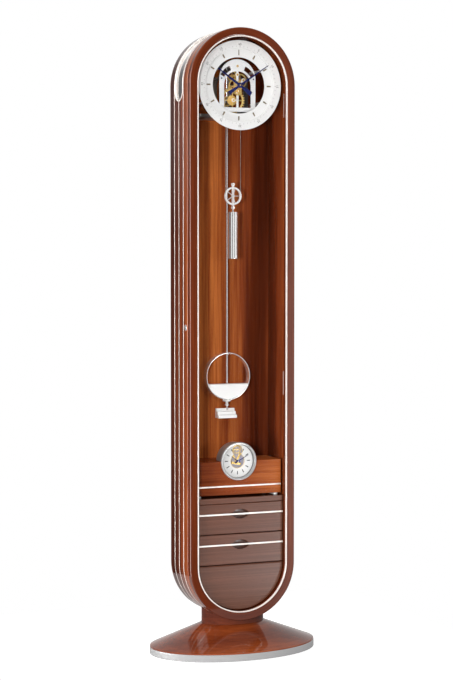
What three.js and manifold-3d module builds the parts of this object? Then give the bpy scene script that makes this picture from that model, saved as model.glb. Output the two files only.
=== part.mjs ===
// Grandfather clock: a tall round-ended case on an elliptical pedestal, with a skeleton
// movement, a pendulum, one driving weight, two drawers and a small shelf clock.
// Millimetres. +Z is up, the front faces -Y, and the floor under the pedestal is z = 0.
import * as THREE from 'three'
import { mergeVertices } from 'three/addons/utils/BufferGeometryUtils.js'
import Module from 'manifold-3d'

const wasm = await Module()
wasm.setup()

// ---------------------------------------------------------------- sizes
// Clearances
const seatGap = 0.3 // between pieces that rest on each other
const runGap = 0.1 // around a turning shaft
const sideGap = 2.6 // between the door opening and what stands inside it

// Pedestal
const footLength = 558
const footDepth = 368
const padThickness = 2.7
const plateThickness = 22
const coneRise = 70
const coneWall = 12
const neckLength = 210
const neckRise = 16.2

// Case
const caseWidth = 360
const caseHeight = 1888.5
const caseDepth = 176
const wallThickness = 22
const backThickness = 10
const backInset = 8
const inlayWidth = 4
const inlayDepth = 1.2
const inlaySpacing = 39
const inlayCentre = 100
const skylightWidth = 63
const skylightRim = 3.5
const skylightEnd = 232
const skylightGlass = 4.4
const bezelHeight = 5

// Door
const doorThickness = 24
const doorGap = 0.6
const doorFace = 25
const trimFace = 4
const trimDepth = 8
const trimProud = 0.4
const doorGlass = 4
const hingeHeight = 76
const hingeThickness = 1.5
const hingePinRadius = 1.4
const hingeKnuckleRadius = 3.6
const hingeFold = 12
const upperHingeDrop = 59
const lowerHingeDrop = 952
const lockDrop = 768
const lockInset = 13.4
const lockRadius = 7.7
const lockArm = 12

// Dial and hands
const dialMargin = 9
const dialInset = 26
const dialBand = 24.7
const dialStep = 10
const dialWidth = 53
const postAngle = 30
const ringThickness = 2
const minuteHandReach = 0.825
const minuteHandTail = 0.322
const hourHandReach = 0.643
const hourHandTail = 0.336
const handThickness = 1.5
const minuteAngle = 56
const hourAngle = 304.7
const eyeAngles = [30, 114]
const eyeSpan = 36

// Movement
const plateWidth = 124
const plateRise = 84
const plateInset = 46
const plateGauge = 3
const plateRearGap = 28
const windowRadius = 46
const seatWidth = 188
const seatDrop = 96
const seatGauge = 8
const seatLip = 21
const arborRadius = 1.6
const greatTeeth = 30
const greatPinion = 6
const greatModule = 2.68
const centreTeeth = 48
const thirdPinion = 6
const centreModule = 1
const thirdTeeth = 45
const escapePinion = 6
const thirdModule = 1.04
const escapeTeeth = 30
const escapeRadius = 19.1
const motionModule = 1.45
const cannonTeeth = 6
const minuteWheelTeeth = 18
const minutePinionTeeth = 6
const hourWheelTeeth = 24
const palletClearance = 1.2
const palletAngle = 45
const drumRadius = 11.2
const drumMargin = 7
const drumRearGap = 6
const cableRadius = 0.8
const crutchLength = 112

// Pendulum
const pendulumShare = 0.52635
const suspensionRise = 62
const pendulumBack = 23
const rodRadius = 3
const bobRadius = 76.6
const bobRing = 2.6
const bobDepth = 26
const bobFillDrop = 25
const nutRadius = 13.5
const pointerDrop = 110
const scaleWidth = 64
const scaleStep = 10.3
const scaleDrop = 106

// Weight
const weightShare = 0.575
const weightRadius = 16
const weightLength = 150
const weightTopDrop = 400.3
const pulleyRadius = 28.5
const pulleyWidth = 8
const stirrupDrop = 349
const stirrupLength = 83.5
const stirrupWidth = 8
const stirrupGauge = 1.5

// Cabinet, drawers and shelf box
const cabinetTop = 506
const topBoard = 17.8
const frontInset = 20
const frontThickness = 12
const grooveWidth = 3
const drawerHeight = 95.5
const drawerBack = 8
const drawerWall = 7
const lowerPanelTop = 289.7
const stripHeight = 5
const stripThickness = 1.8
const pullWidth = 64.5
const pullHeight = 31
const pullDepth = 9
const standoffHeight = 7
const standoffInset = 18
const standoffMargin = 15
const boxHeight = 108.1
const boxInset = 36
const boxWall = 8
const boxStripRise = 27.9

// Shelf clock
const bezelRadius = 61.5
const bezelInset = 32
const shelfBodyRadius = 58
const shelfBodyDepth = 48
const shelfBore = 54
const shelfDialRadius = 53.4
const shelfDialInset = 14
const balanceRise = 36
const balanceRadius = 13
const shelfMinuteHand = 40
const shelfMinuteAngle = 62
const shelfHourHand = 27
const shelfHourAngle = 305

// Facet counts
const archSteps = 18
const ovalSteps = 36

// ---------------------------------------------------------------- places
const radians = Math.PI / 180
const caseRadius = caseWidth / 2
const plateTop = padThickness + seatGap + plateThickness
const coneTop = plateTop + seatGap + coneRise
const caseBottom = coneTop + seatGap + neckRise
const lowerCentre = caseBottom + caseRadius
const upperCentre = caseBottom + caseHeight - caseRadius
const openingRadius = caseRadius - doorFace - trimFace
const innerRadius = caseRadius - wallThickness
const insideRadius = openingRadius - sideGap
const dialRadius = openingRadius - dialMargin
const dialStepRadius = dialRadius - dialBand
const dialHoleRadius = dialRadius - dialWidth
const standoffSpread = insideRadius - standoffMargin
const backFace = caseDepth - backInset - backThickness
const shellFront = doorThickness + doorGap
const pivot = { x: 0, z: upperCentre + suspensionRise }
const pendulumLength = caseHeight * pendulumShare
const bobCentre = pivot.z - pendulumLength
const ovalRatio = footDepth / footLength
const boxBottom = cabinetTop + standoffHeight
const boxTop = boxBottom + boxHeight
const hourFace = dialInset + dialStep
const pendulumInset = backFace - pendulumBack
const drawerDepth = backFace - drawerBack - frontInset
const plateBack = plateInset + plateGauge
const rearPlate = pendulumInset - plateRearGap
const wheelPitch = (rearPlate - plateBack) * 0.1725
const drumStart = plateBack + wheelPitch / 2 + drumMargin
const drumLength = rearPlate - drumRearGap - drumStart
const weightInset = drumStart + drumLength * weightShare
const seatTop = upperCentre - seatDrop
const seatBottom = seatTop - seatGauge
const cableSpread = pulleyRadius - 3 + cableRadius
const windingRadius = drumRadius + seatGap + cableRadius

// y of a plane that lies t behind the front of the door
const behind = (t) => t - caseDepth / 2

// Arbors of the going train, as [x, z]
const centreArbor = [0, upperCentre]
const escapeArbor = [0, pivot.z - escapeRadius * Math.SQRT2]
const thirdArbor = meetingPoint(
  centreArbor, (centreTeeth + thirdPinion) * centreModule / 2,
  escapeArbor, (thirdTeeth + escapePinion) * thirdModule / 2,
)
const greatReach = (greatTeeth + greatPinion) * greatModule / 2
const greatSide = cableSpread - windingRadius
const greatArbor = [-greatSide, upperCentre - Math.sqrt(greatReach ** 2 - greatSide ** 2)]
const motionReach = (cannonTeeth + minuteWheelTeeth) * motionModule / 2
const motionArbor = [0, upperCentre - motionReach]
const hourModule = motionReach * 2 / (minutePinionTeeth + hourWheelTeeth)

// Planes of the wheels, as t of their front faces
const greatPlane = plateBack + wheelPitch / 2
const centrePlane = greatPlane + wheelPitch
const thirdPlane = centrePlane + wheelPitch
const escapePlane = thirdPlane + wheelPitch * 1.8
const hourHandPlane = hourFace - 9.5
const minuteHandPlane = hourHandPlane - 4
const glassBack = trimDepth + seatGap + doorGlass
const cannonPlane = plateInset - 4
const hourWheelPlane = cannonPlane - 4

// The point right of a-b that is ra from a and rb from b
function meetingPoint(a, ra, b, rb) {
  const dx = b[0] - a[0]
  const dz = b[1] - a[1]
  const span = Math.hypot(dx, dz)
  const along = (ra ** 2 - rb ** 2 + span ** 2) / (2 * span)
  const across = Math.sqrt(Math.max(ra ** 2 - along ** 2, 0))
  return [a[0] + (dx * along + dz * across) / span, a[1] + (dz * along - dx * across) / span]
}

// ---------------------------------------------------------------- outlines, as [x, z] lists
function arcPoints(radius, from, to, steps, x = 0, z = 0) {
  return Array.from({ length: steps + 1 }, (_, i) => {
    const angle = from + (to - from) * i / steps
    return [x + radius * Math.cos(angle), z + radius * Math.sin(angle)]
  })
}

function circle(radius, steps = 10, x = 0, z = 0) {
  return arcPoints(radius, 0, 2 * Math.PI * (1 - 1 / steps), steps - 1, x, z)
}

function stadium(radius) {
  return [
    ...arcPoints(radius, 0, Math.PI, archSteps, 0, upperCentre),
    ...arcPoints(radius, Math.PI, 2 * Math.PI, archSteps, 0, lowerCentre),
  ]
}

// The stadium's upper end down to a level line
function archOutline(radius, bottom) {
  return [...arcPoints(radius, 0, Math.PI, archSteps, 0, upperCentre), [-radius, bottom], [radius, bottom]]
}

// The stadium's lower end up to a level line
function bowlOutline(radius, top) {
  const dip = Math.asin(Math.max(lowerCentre - top, 0) / radius)
  const arc = arcPoints(radius, Math.PI + dip, 2 * Math.PI - dip, archSteps, 0, lowerCentre)
  return top > lowerCentre ? [...arc, [radius, top], [-radius, top]] : arc
}

function ellipse(length, depth) {
  return circle(1, ovalSteps).map(([x, y]) => [x * length / 2, y * depth / 2])
}

function sector(inner, outer, from, to, steps = 4) {
  return [...arcPoints(outer, from, to, steps), ...arcPoints(inner, to, from, steps)]
}

// Two equal arcs that meet in points at both ends
function lens(width, height, x, z) {
  const radius = (width ** 2 + height ** 2) / (4 * height)
  const half = Math.asin(width / 2 / radius)
  const rise = radius - height / 2
  return [
    ...arcPoints(radius, Math.PI / 2 - half, Math.PI / 2 + half, 12, x, z - rise),
    ...arcPoints(radius, -Math.PI / 2 - half, -Math.PI / 2 + half, 12, x, z + rise).slice(1, -1),
  ]
}

// Tapered gear teeth around a root circle, with the first tooth at the angle given
function gearOutline(teeth, module, first) {
  const pitch = teeth * module / 2
  const root = pitch - module * 1.15
  const tip = pitch + module * 0.75
  const step = 2 * Math.PI / teeth
  return Array.from({ length: teeth }, (_, i) => {
    const middle = first + i * step
    return [[root, -0.27], [tip, -0.1], [tip, 0.1], [root, 0.27]].map(([radius, share]) => [
      radius * Math.cos(middle + share * step), radius * Math.sin(middle + share * step),
    ])
  }).flat()
}

// Pointed teeth that lean forward, as an escape wheel has
function escapeOutline() {
  const root = escapeRadius * 0.82
  const step = 2 * Math.PI / escapeTeeth
  return Array.from({ length: escapeTeeth }, (_, i) => {
    const middle = -(i + 0.5) * step + Math.PI / 2
    return [[root, -0.3], [escapeRadius, 0.2], [root, 0.2]].map(([radius, share]) => [
      radius * Math.cos(middle - share * step), radius * Math.sin(middle - share * step),
    ])
  }).flat().reverse()
}

// Openings between the spokes of a wheel
function spokeWindows(inner, outer, count, spokeWidth, first = 0) {
  return Array.from({ length: count }, (_, i) => {
    const from = first + 2 * Math.PI * i / count
    const to = first + 2 * Math.PI * (i + 1) / count
    const near = spokeWidth / 2 / inner
    const far = spokeWidth / 2 / outer
    return [
      ...arcPoints(outer, from + far, to - far, 3),
      ...arcPoints(inner, to - near, from + near, 1),
    ]
  })
}

// ---------------------------------------------------------------- solids
function solidFrom(geometry) {
  geometry.deleteAttribute('normal')
  geometry.deleteAttribute('uv')
  const merged = mergeVertices(geometry, 1e-4)
  const place = merged.getAttribute('position')
  const corner = [new THREE.Vector3(), new THREE.Vector3(), new THREE.Vector3()]
  const triangles = []
  let volume = 0
  for (let i = 0; i < merged.index.count; i += 3) {
    const ids = [0, 1, 2].map((k) => merged.index.getX(i + k))
    if (new Set(ids).size < 3) continue
    ids.forEach((id, k) => corner[k].fromBufferAttribute(place, id))
    volume += corner[0].dot(corner[1].clone().cross(corner[2]))
    triangles.push(ids)
  }
  const triVerts = new Uint32Array((volume < 0 ? triangles.map((ids) => ids.reverse()) : triangles).flat())
  const vertProperties = new Float32Array(place.array)
  return new wasm.Manifold(new wasm.Mesh({ numProp: 3, vertProperties, triVerts }))
}

function shapeFrom(outline, holes = []) {
  const shape = new THREE.Shape(outline.map(([x, y]) => new THREE.Vector2(x, y)))
  for (const hole of holes) shape.holes.push(new THREE.Path(hole.map(([x, y]) => new THREE.Vector2(x, y))))
  return shape
}

function extrude(outline, holes, depth) {
  return new THREE.ExtrudeGeometry(shapeFrom(outline, holes), { depth, bevelEnabled: false })
}

// A plate that faces the front, from t to t2 behind the door's face
function plate(outline, holes, t, t2) {
  return solidFrom(extrude(outline, holes, t2 - t).rotateX(Math.PI / 2).translate(0, behind(t2), 0))
}

// A level slab with its outline in x and y
function slab(outline, z, z2) {
  return solidFrom(extrude(outline, [], z2 - z).translate(0, 0, z))
}

function block([x, x2], [t, t2], [z, z2]) {
  const box = new THREE.BoxGeometry(x2 - x, t2 - t, z2 - z)
  return solidFrom(box.translate((x + x2) / 2, behind((t + t2) / 2), (z + z2) / 2))
}

// A round bar along y, from t to t2
function barY(radius, t, t2, x = 0, z = 0, steps = 10) {
  const bar = new THREE.CylinderGeometry(radius, radius, t2 - t, steps)
  return solidFrom(bar.translate(x, behind((t + t2) / 2), z))
}

// A running bore for a shaft of this radius: even its flats clear the shaft
function boreRadius(radius, steps) {
  return (radius + runGap) / Math.cos(Math.PI / steps)
}

function boreY(radius, t, t2, x = 0, z = 0, steps = 10) {
  return barY(boreRadius(radius, steps), t, t2, x, z, steps)
}

function barX(radius, x, x2, t, z, steps = 24) {
  const bar = new THREE.CylinderGeometry(radius, radius, x2 - x, steps).rotateZ(Math.PI / 2)
  return solidFrom(bar.translate((x + x2) / 2, behind(t), z))
}

function barZ(radius, z, z2, x, t, steps = 10) {
  const bar = new THREE.CylinderGeometry(radius, radius, z2 - z, steps).rotateX(Math.PI / 2)
  return solidFrom(bar.translate(x, behind(t), (z + z2) / 2))
}

// A profile of [radius, t] turned about the y axis; a profile off the axis is closed
function turnedY(profile, steps = 48) {
  const points = closedProfile(profile).map(([radius, t]) => new THREE.Vector2(radius, behind(t)))
  return solidFrom(new THREE.LatheGeometry(points, steps))
}

// A profile of [radius, z] turned about the z axis
function turnedZ(profile, steps = 32) {
  const points = closedProfile(profile).map(([radius, z]) => new THREE.Vector2(radius, z))
  return solidFrom(new THREE.LatheGeometry(points, steps).rotateX(Math.PI / 2))
}

function closedProfile(profile) {
  const onAxis = profile[0][0] === 0 && profile.at(-1)[0] === 0
  return onAxis ? profile : [...profile, profile[0]]
}

const join = (...solids) => solids.reduce((sum, solid) => sum.add(solid))
const cut = (solid, ...tools) => tools.reduce((left, tool) => left.subtract(tool), solid)
const ring = (outer, inner, t, t2) => plate(stadium(outer), [stadium(inner)], t, t2)

function finish(colour, roughness, metalness = 0) {
  return new THREE.MeshStandardMaterial({ color: colour, roughness, metalness })
}

const looks = {
  wood: () => finish(0x5a2416, 0.15),
  darkWood: () => finish(0x3b140c, 0.18),
  steel: () => finish(0xb9bcc0, 0.25, 1),
  polished: () => finish(0xdadcdf, 0.12, 1),
  brass: () => finish(0xc9a14a, 0.3, 1),
  blued: () => finish(0x151b3a, 0.3, 1),
  white: () => finish(0xe9e9e4, 0.5),
  cable: () => finish(0x9a9a94, 0.5, 1),
  rubber: () => finish(0x1a1a1a, 0.8),
  glass: () => Object.assign(finish(0xdfe8ea, 0.05), { transparent: true, opacity: 0.25 }),
}

function sub(name, solid, look, place = [0, 0, 0], turn = 0) {
  const { vertProperties, triVerts } = solid.getMesh()
  const geometry = new THREE.BufferGeometry()
  geometry.setAttribute('position', new THREE.BufferAttribute(vertProperties, 3))
  geometry.setIndex(new THREE.BufferAttribute(triVerts, 1))
  geometry.computeVertexNormals()
  const mesh = new THREE.Mesh(geometry, look())
  mesh.name = name
  mesh.position.set(...place)
  mesh.rotation.y = turn
  return mesh
}

function group(...meshes) {
  const set = new THREE.Group()
  set.add(...meshes)
  return set
}

// ---------------------------------------------------------------- pedestal
function basePad() {
  return slab(ellipse(footLength - 26, footDepth - 26), 0, padThickness)
}

function basePlate() {
  return slab(ellipse(footLength, footDepth), plateTop - plateThickness, plateTop)
}

// An elliptical cone, open underneath, its wall as thick as the cone wall
function baseCone() {
  const low = plateTop + seatGap
  const outer = footLength / 2 - 1.5
  const neck = neckLength / 2
  const lip = coneWall / 3
  const slopeWall = coneWall * Math.hypot(outer - neck, coneRise - lip) / (coneRise - lip)
  const roof = coneTop - coneWall
  const inset = outer - slopeWall
  const profile = [
    [0, roof], [neck, roof], [inset, low + lip], [inset, low],
    [outer, low], [outer, low + lip], [neck + 1, coneTop], [0, coneTop],
  ]
  const points = profile.map(([radius, z]) => new THREE.Vector2(radius, z))
  return solidFrom(new THREE.LatheGeometry(points, ovalSteps).rotateX(Math.PI / 2).scale(1, ovalRatio, 1))
}

// A saddle that carries the round end of the case, relieved where the door swings past
function neck() {
  const low = coneTop + seatGap
  const shoulder = Math.min(neckLength / 2, caseRadius * 0.9)
  const high = lowerCentre - Math.sqrt(caseRadius ** 2 - shoulder ** 2) + 10
  const post = slab(ellipse(neckLength, neckLength * ovalRatio), low, high)
  const seat = plate(stadium(caseRadius + seatGap), [], -caseDepth, caseDepth * 2)
  const relief = plate(stadium(caseRadius + 2.5), [], -caseDepth, shellFront + seatGap)
  return cut(post, seat, relief)
}

// ---------------------------------------------------------------- case
// What the skylight cuts out of the arch: level sides with round lower ends
function skylightTool(half) {
  const middle = behind(inlayCentre)
  const level = caseBottom + caseHeight - skylightEnd + skylightWidth / 2 + skylightRim
  const outline = [
    ...arcPoints(half, Math.PI, 2 * Math.PI, 8, middle, level),
    [middle + half, level + caseHeight], [middle - half, level + caseHeight],
  ]
  const swap = new THREE.Matrix4().set(0, 0, 1, 0, 1, 0, 0, 0, 0, 1, 0, 0, 0, 0, 0, 1)
  return solidFrom(extrude(outline, [], caseWidth * 1.2).translate(0, 0, -caseWidth * 0.6).applyMatrix4(swap))
}

const bezelHalf = skylightWidth / 2 + skylightRim
const bezelSeat = caseRadius - bezelHeight
const glassSeat = bezelSeat - skylightGlass - seatGap
const skylightFoot = caseBottom + caseHeight - skylightEnd

function inlay(t) {
  return ring(caseRadius, caseRadius - inlayDepth, t - inlayWidth / 2, t + inlayWidth / 2)
}

function inlayGroove(t) {
  const half = inlayWidth / 2 + seatGap
  return ring(caseRadius + 2, caseRadius - inlayDepth - seatGap, t - half, t + half)
}

function belowSkylight(solid, gap) {
  const high = skylightFoot - gap
  return solid.intersect(block([-caseWidth, caseWidth], [-caseDepth, caseDepth * 2], [0, high]))
}

function hingeSpan(drop) {
  const middle = upperCentre - drop
  return [middle - hingeHeight / 2, middle + hingeHeight / 2]
}

function caseShell() {
  const [upper, lower] = [upperHingeDrop, lowerHingeDrop].map((drop) => {
    const [z, z2] = hingeSpan(drop)
    return block([innerRadius - 1, caseRadius + 1], [0, shellFront + hingeThickness + seatGap], [z - seatGap, z2 + seatGap])
  })
  const rebate = ring(caseRadius + 2, glassSeat, 0, caseDepth * 2).intersect(skylightTool(bezelHalf + seatGap))
  return cut(
    ring(caseRadius, innerRadius, shellFront, caseDepth),
    inlayGroove(inlayCentre - inlaySpacing),
    inlayGroove(inlayCentre + inlaySpacing),
    belowSkylight(inlayGroove(inlayCentre), 0),
    skylightTool(skylightWidth / 2),
    rebate,
    upper,
    lower,
    barX(boreRadius(lockRadius, 24), -caseRadius - 5, -innerRadius + 5, lockPlane, lockHeight),
  )
}

function backPanel() {
  return plate(stadium(innerRadius - seatGap), [], backFace, backFace + backThickness)
}

function skylightBezel() {
  const band = ring(caseRadius + 0.6, bezelSeat, 0, caseDepth * 2)
  return band.intersect(cut(skylightTool(bezelHalf), skylightTool(skylightWidth / 2)))
}

function skylightPane() {
  return ring(bezelSeat - seatGap, glassSeat + seatGap, 0, caseDepth * 2).intersect(skylightTool(bezelHalf - seatGap))
}

// ---------------------------------------------------------------- door
const hingeAxis = { x: caseRadius + hingeKnuckleRadius + seatGap, t: doorThickness + doorGap / 2 }
const lockPlane = shellFront + lockInset
const lockHeight = upperCentre - lockDrop
const strikeHeight = lockHeight + 8

function doorFrame() {
  const leaves = [upperHingeDrop, lowerHingeDrop].map((drop) => {
    const [z, z2] = hingeSpan(drop)
    const deep = doorThickness - hingeThickness - seatGap
    return block([openingRadius + 8, caseRadius + 1], [deep, doorThickness + 1], [z - seatGap, z2 + seatGap])
  })
  const mortise = block(
    [-innerRadius + 0.3 - seatGap, -openingRadius + 1], [doorThickness - 3 - seatGap, doorThickness + 1],
    [strikeHeight - seatGap, strikeHeight + 2 + seatGap],
  )
  return cut(
    ring(caseRadius, openingRadius, 0, doorThickness),
    plate(stadium(openingRadius + trimFace), [], -1, glassBack + seatGap),
    mortise,
    ...leaves,
  )
}

function doorTrim() {
  return ring(openingRadius + trimFace - seatGap, openingRadius, -trimProud, trimDepth)
}

// The pane stops level with the shelf box, so the drawers slide out with the door shut
function doorPane() {
  return plate(archOutline(openingRadius + trimFace - seatGap, boxBottom), [], trimDepth + seatGap, glassBack)
}

// The case leaf folds round the corner of the wall and carries the pin
function hingeCaseLeaf(drop) {
  const [z, z2] = hingeSpan(drop)
  const third = hingeHeight / 3
  const { x, t } = hingeAxis
  const wallFace = innerRadius - seatGap - hingeThickness
  const sheet = shellFront + hingeThickness
  const ends = [[z, z + third], [z2 - third, z2]]
  const knuckles = ends.map(([low, high]) => join(
    barZ(hingeKnuckleRadius, low, high, x, t),
    block([caseRadius - 2, x], [shellFront, sheet], [low, high]),
  ))
  return join(
    block([wallFace, caseRadius - 1], [shellFront, sheet], [z, z2]),
    block([wallFace, innerRadius - seatGap], [shellFront, shellFront + hingeFold], [z, z2]),
    barZ(hingePinRadius, z, z2, x, t, 12),
    ...knuckles,
  )
}

function hingeDoorLeaf(drop) {
  const [z, z2] = hingeSpan(drop)
  const third = hingeHeight / 3 + seatGap
  const { x, t } = hingeAxis
  const sheet = [doorThickness - hingeThickness, doorThickness]
  return cut(
    join(
      block([openingRadius + 8 + seatGap, caseRadius - 1], sheet, [z, z2]),
      block([caseRadius - 2, x], sheet, [z + third, z2 - third]),
      barZ(hingeKnuckleRadius, z + third, z2 - third, x, t),
    ),
    barZ(boreRadius(hingePinRadius, 12), z, z2, x, t, 12),
  )
}

// A turning plug through the side wall, with an arm that swings up behind the door's strike
function lockBarrel() {
  const arm = [-innerRadius + 4, -innerRadius + 6.5]
  return join(
    barX(lockRadius + 1.5, -caseRadius - 2, -caseRadius - seatGap, lockPlane, lockHeight),
    barX(lockRadius, -caseRadius - 1, -innerRadius + 1, lockPlane, lockHeight),
    barX(5, -innerRadius, arm[1], lockPlane, lockHeight, 16),
    block(arm, [lockPlane - lockArm, lockPlane], [lockHeight - 2, lockHeight + 2]),
  )
}

function lockStrike() {
  const arm = [-innerRadius + 4, -innerRadius + 6.5]
  const edges = [arm[0] - 3.4, arm[1] + 3.4]
  const deep = [doorThickness - 3, lockPlane + 7]
  return cut(
    block(edges, deep, [strikeHeight, strikeHeight + 2]),
    block([arm[0] - 1.2, arm[1] + 1.2], [lockPlane - lockArm + 0.5, lockPlane + 3.5], [strikeHeight - 1, strikeHeight + 3]),
  )
}

// ---------------------------------------------------------------- dial and hands
function minuteRing() {
  const face = dialInset + ringThickness
  return turnedY([
    [dialStepRadius, dialInset], [dialRadius, dialInset], [dialRadius, face],
    [dialStepRadius + 2.5, face], [dialStepRadius + 2.5, hourFace - seatGap], [dialStepRadius, hourFace - seatGap],
  ], 40)
}

// The inner ring stands on four posts from the back of the case
function hourRing() {
  const middle = (dialHoleRadius + dialStepRadius) / 2
  const posts = [postAngle, 180 - postAngle, 180 + postAngle, -postAngle].map((angle) => {
    const [x, z] = [Math.cos(angle * radians), Math.sin(angle * radians)]
    return barY(4, hourFace + 1, backFace - seatGap, x * middle, z * middle, 12)
  })
  const face = plate(circle(dialStepRadius + 11, 40), [circle(dialHoleRadius, 40)], hourFace, hourFace + ringThickness)
  return join(face, ...posts)
}

// A tapered blade with a round hub and a flared tail, pointing to twelve
function handOutline(length, tail, width) {
  const hub = width * 0.95
  return [
    [width * 0.14, length], [width * 0.5, hub * 1.2], [hub, 0], [width * 0.45, -hub * 1.2],
    [width * 0.85, -tail + width * 0.4], [width * 0.6, -tail], [-width * 0.6, -tail],
    [-width * 0.85, -tail + width * 0.4], [-width * 0.45, -hub * 1.2], [-hub, 0],
    [-width * 0.5, hub * 1.2], [-width * 0.14, length],
  ]
}

// A hand whose length and tail are shares of the dial's radius
function dialHand(reach, tail, width, bore, t) {
  return hand(dialRadius * reach, dialRadius * tail, width, bore, t)
}

function hand(length, tail, width, bore, t) {
  return plate(handOutline(length, tail, width), [circle(boreRadius(bore, 16), 16)], t, t + handThickness)
}

// ---------------------------------------------------------------- movement
function atArbor([x, z]) {
  return [x, 0, z]
}

function gear(teeth, module, first, t, t2, spokes = 0, bore = 0) {
  const root = teeth * module / 2 - module * 1.15
  const inner = Math.max(root * 0.24, Math.max(bore, arborRadius) + 3)
  const holes = spokes ? spokeWindows(inner, root - Math.max(1.8, root * 0.12), spokes, 2.4) : []
  if (bore) holes.push(circle(boreRadius(bore, 16), 16))
  return plate(gearOutline(teeth, module, first), holes, t, t2)
}

// Angles from one arbor to the next, for teeth that meet on the line of centres
function bearing(from, to) {
  return Math.atan2(to[1] - from[1], to[0] - from[0])
}

function facing(from, to, teeth) {
  return bearing(from, to) + Math.PI / teeth
}

function moveTo(solid, [x, z]) {
  return solid.translate([x, 0, z])
}

const plateOutline = () => {
  const half = plateWidth / 2
  const spring = upperCentre + plateRise - half
  return [...arcPoints(half, 0, Math.PI, 12, 0, spring), [-half, seatTop + seatGap], [half, seatTop + seatGap]]
}

const windowOutline = () => {
  const foot = seatTop + 14
  return [...arcPoints(windowRadius, 0, Math.PI, 12, 0, upperCentre), [-windowRadius, foot], [windowRadius, foot]]
}

// Slender bars that carry the pivots across a plate's window
function pivotBars(t, t2) {
  const bar = ([x, z], [x2, z2], width) => {
    const length = Math.hypot(x2 - x, z2 - z)
    const turn = Math.atan2(z2 - z, x2 - x) / radians
    const web = plate([[0, -width / 2], [length, -width / 2], [length, width / 2], [0, width / 2]], [], t, t2)
    return web.rotate([0, -turn, 0]).translate([x, 0, z])
  }
  const reach = windowRadius + 3
  const foot = [0, seatTop + 8]
  const bosses = [centreArbor, escapeArbor, thirdArbor, greatArbor].map((place) => moveTo(barY(6, t, t2), place))
  return join(
    bar(foot, [0, upperCentre + reach], 7),
    bar(centreArbor, thirdArbor, 5),
    bar([0, greatArbor[1]], greatArbor, 5),
    ...bosses,
  )
}

// An arched plate with an open window and two cut-outs above it
function movementPlate(t, t2) {
  const eyes = eyeAngles.map((from) => {
    const eye = sector(windowRadius + 7, windowRadius + 22, from * radians, (from + eyeSpan) * radians)
    return moveTo(plate(eye, [], t, t2), centreArbor)
  })
  return join(cut(plate(plateOutline(), [windowOutline()], t, t2), ...eyes), pivotBars(t, t2))
}

function pivotHole(place, radius, t, t2) {
  return moveTo(boreY(radius, t - 1, t2 + 1), place)
}

const pivotRadius = 1.1
const centreRadius = 2.4

function frontPlate() {
  const span = [plateInset, plateBack]
  const stud = moveTo(barY(1.4, hourWheelPlane - 1.5, plateBack - 1), motionArbor)
  return join(
    cut(
      movementPlate(...span),
      pivotHole(centreArbor, centreRadius, ...span),
      pivotHole(escapeArbor, pivotRadius, ...span),
      pivotHole(thirdArbor, pivotRadius, ...span),
      pivotHole(greatArbor, 3, ...span),
      pivotHole([pivot.x, pivot.z], pivotRadius, ...span),
    ),
    stud,
  )
}

// The rear plate carries the four pillars that space the plates
function backPlate() {
  const span = [rearPlate, rearPlate + plateGauge]
  const side = plateWidth / 2 - 7
  const levels = [seatTop + 8, upperCentre + 22]
  const pillars = levels.flatMap((z) => [-side, side].map((x) => barY(4, plateBack + seatGap, rearPlate + 1, x, z, 8)))
  return join(
    cut(
      movementPlate(...span),
      pivotHole(centreArbor, pivotRadius, ...span),
      pivotHole(escapeArbor, pivotRadius, ...span),
      pivotHole(thirdArbor, pivotRadius, ...span),
      pivotHole(greatArbor, 2, ...span),
      pivotHole([pivot.x, pivot.z], arborRadius, ...span),
    ),
    ...pillars,
  )
}

// A shelf from the back of the case, with a slot for the pendulum and a hole for the cable
function seatBoard() {
  const half = seatWidth / 2
  const front = plateInset - 6
  const rear = backFace - seatGap
  return cut(
    join(
      block([-half, half], [front, rear], [seatBottom, seatTop]),
      block([-half, half], [front, front + 5], [seatBottom, seatBottom + seatLip - 9]),
      block([-half, half], [rear - 6, rear], [seatBottom, seatBottom + seatLip]),
    ),
    block([-15, 15], [rearPlate + 5, pendulumInset + 11], [seatBottom - 1, seatTop + 1]),
    barZ(4, seatBottom - 1, seatTop + 1, -cableSpread, weightInset),
  )
}

function drumTool() {
  const start = drumStart
  const end = start + drumLength
  const flange = drumRadius + 5
  return join(
    barY(drumRadius, start, end, 0, 0, 24),
    barY(flange, start - 2, start, 0, 0, 24),
    barY(flange, end, end + 2, 0, 0, 24),
    barY(3, plateInset - 0.5, start, 0, 0),
    barY(2, end, rearPlate + plateGauge, 0, 0),
    block([-2, 2], [plateInset - 7, plateInset], [-2, 2]),
  )
}

// The wound turns as one sleeve, and the straight run down to the seat board
function woundCable() {
  const start = drumStart + seatGap
  const sleeve = plate(
    circle(windingRadius + cableRadius, 24), [circle(drumRadius + seatGap, 24)], start, weightInset + cableRadius,
  )
  const run = barZ(cableRadius, seatBottom, greatArbor[1], -cableSpread, weightInset, 8)
  return join(moveTo(sleeve, greatArbor), run)
}

function greatWheel() {
  const first = bearing(greatArbor, centreArbor)
  const wheel = gear(greatTeeth, greatModule, first, greatPlane, greatPlane + 3, 4, 3)
  return join(wheel, cut(barY(7, greatPlane - 2, greatPlane + 4.5), boreY(3, greatPlane - 3, greatPlane + 6, 0, 0, 16)))
}

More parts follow.
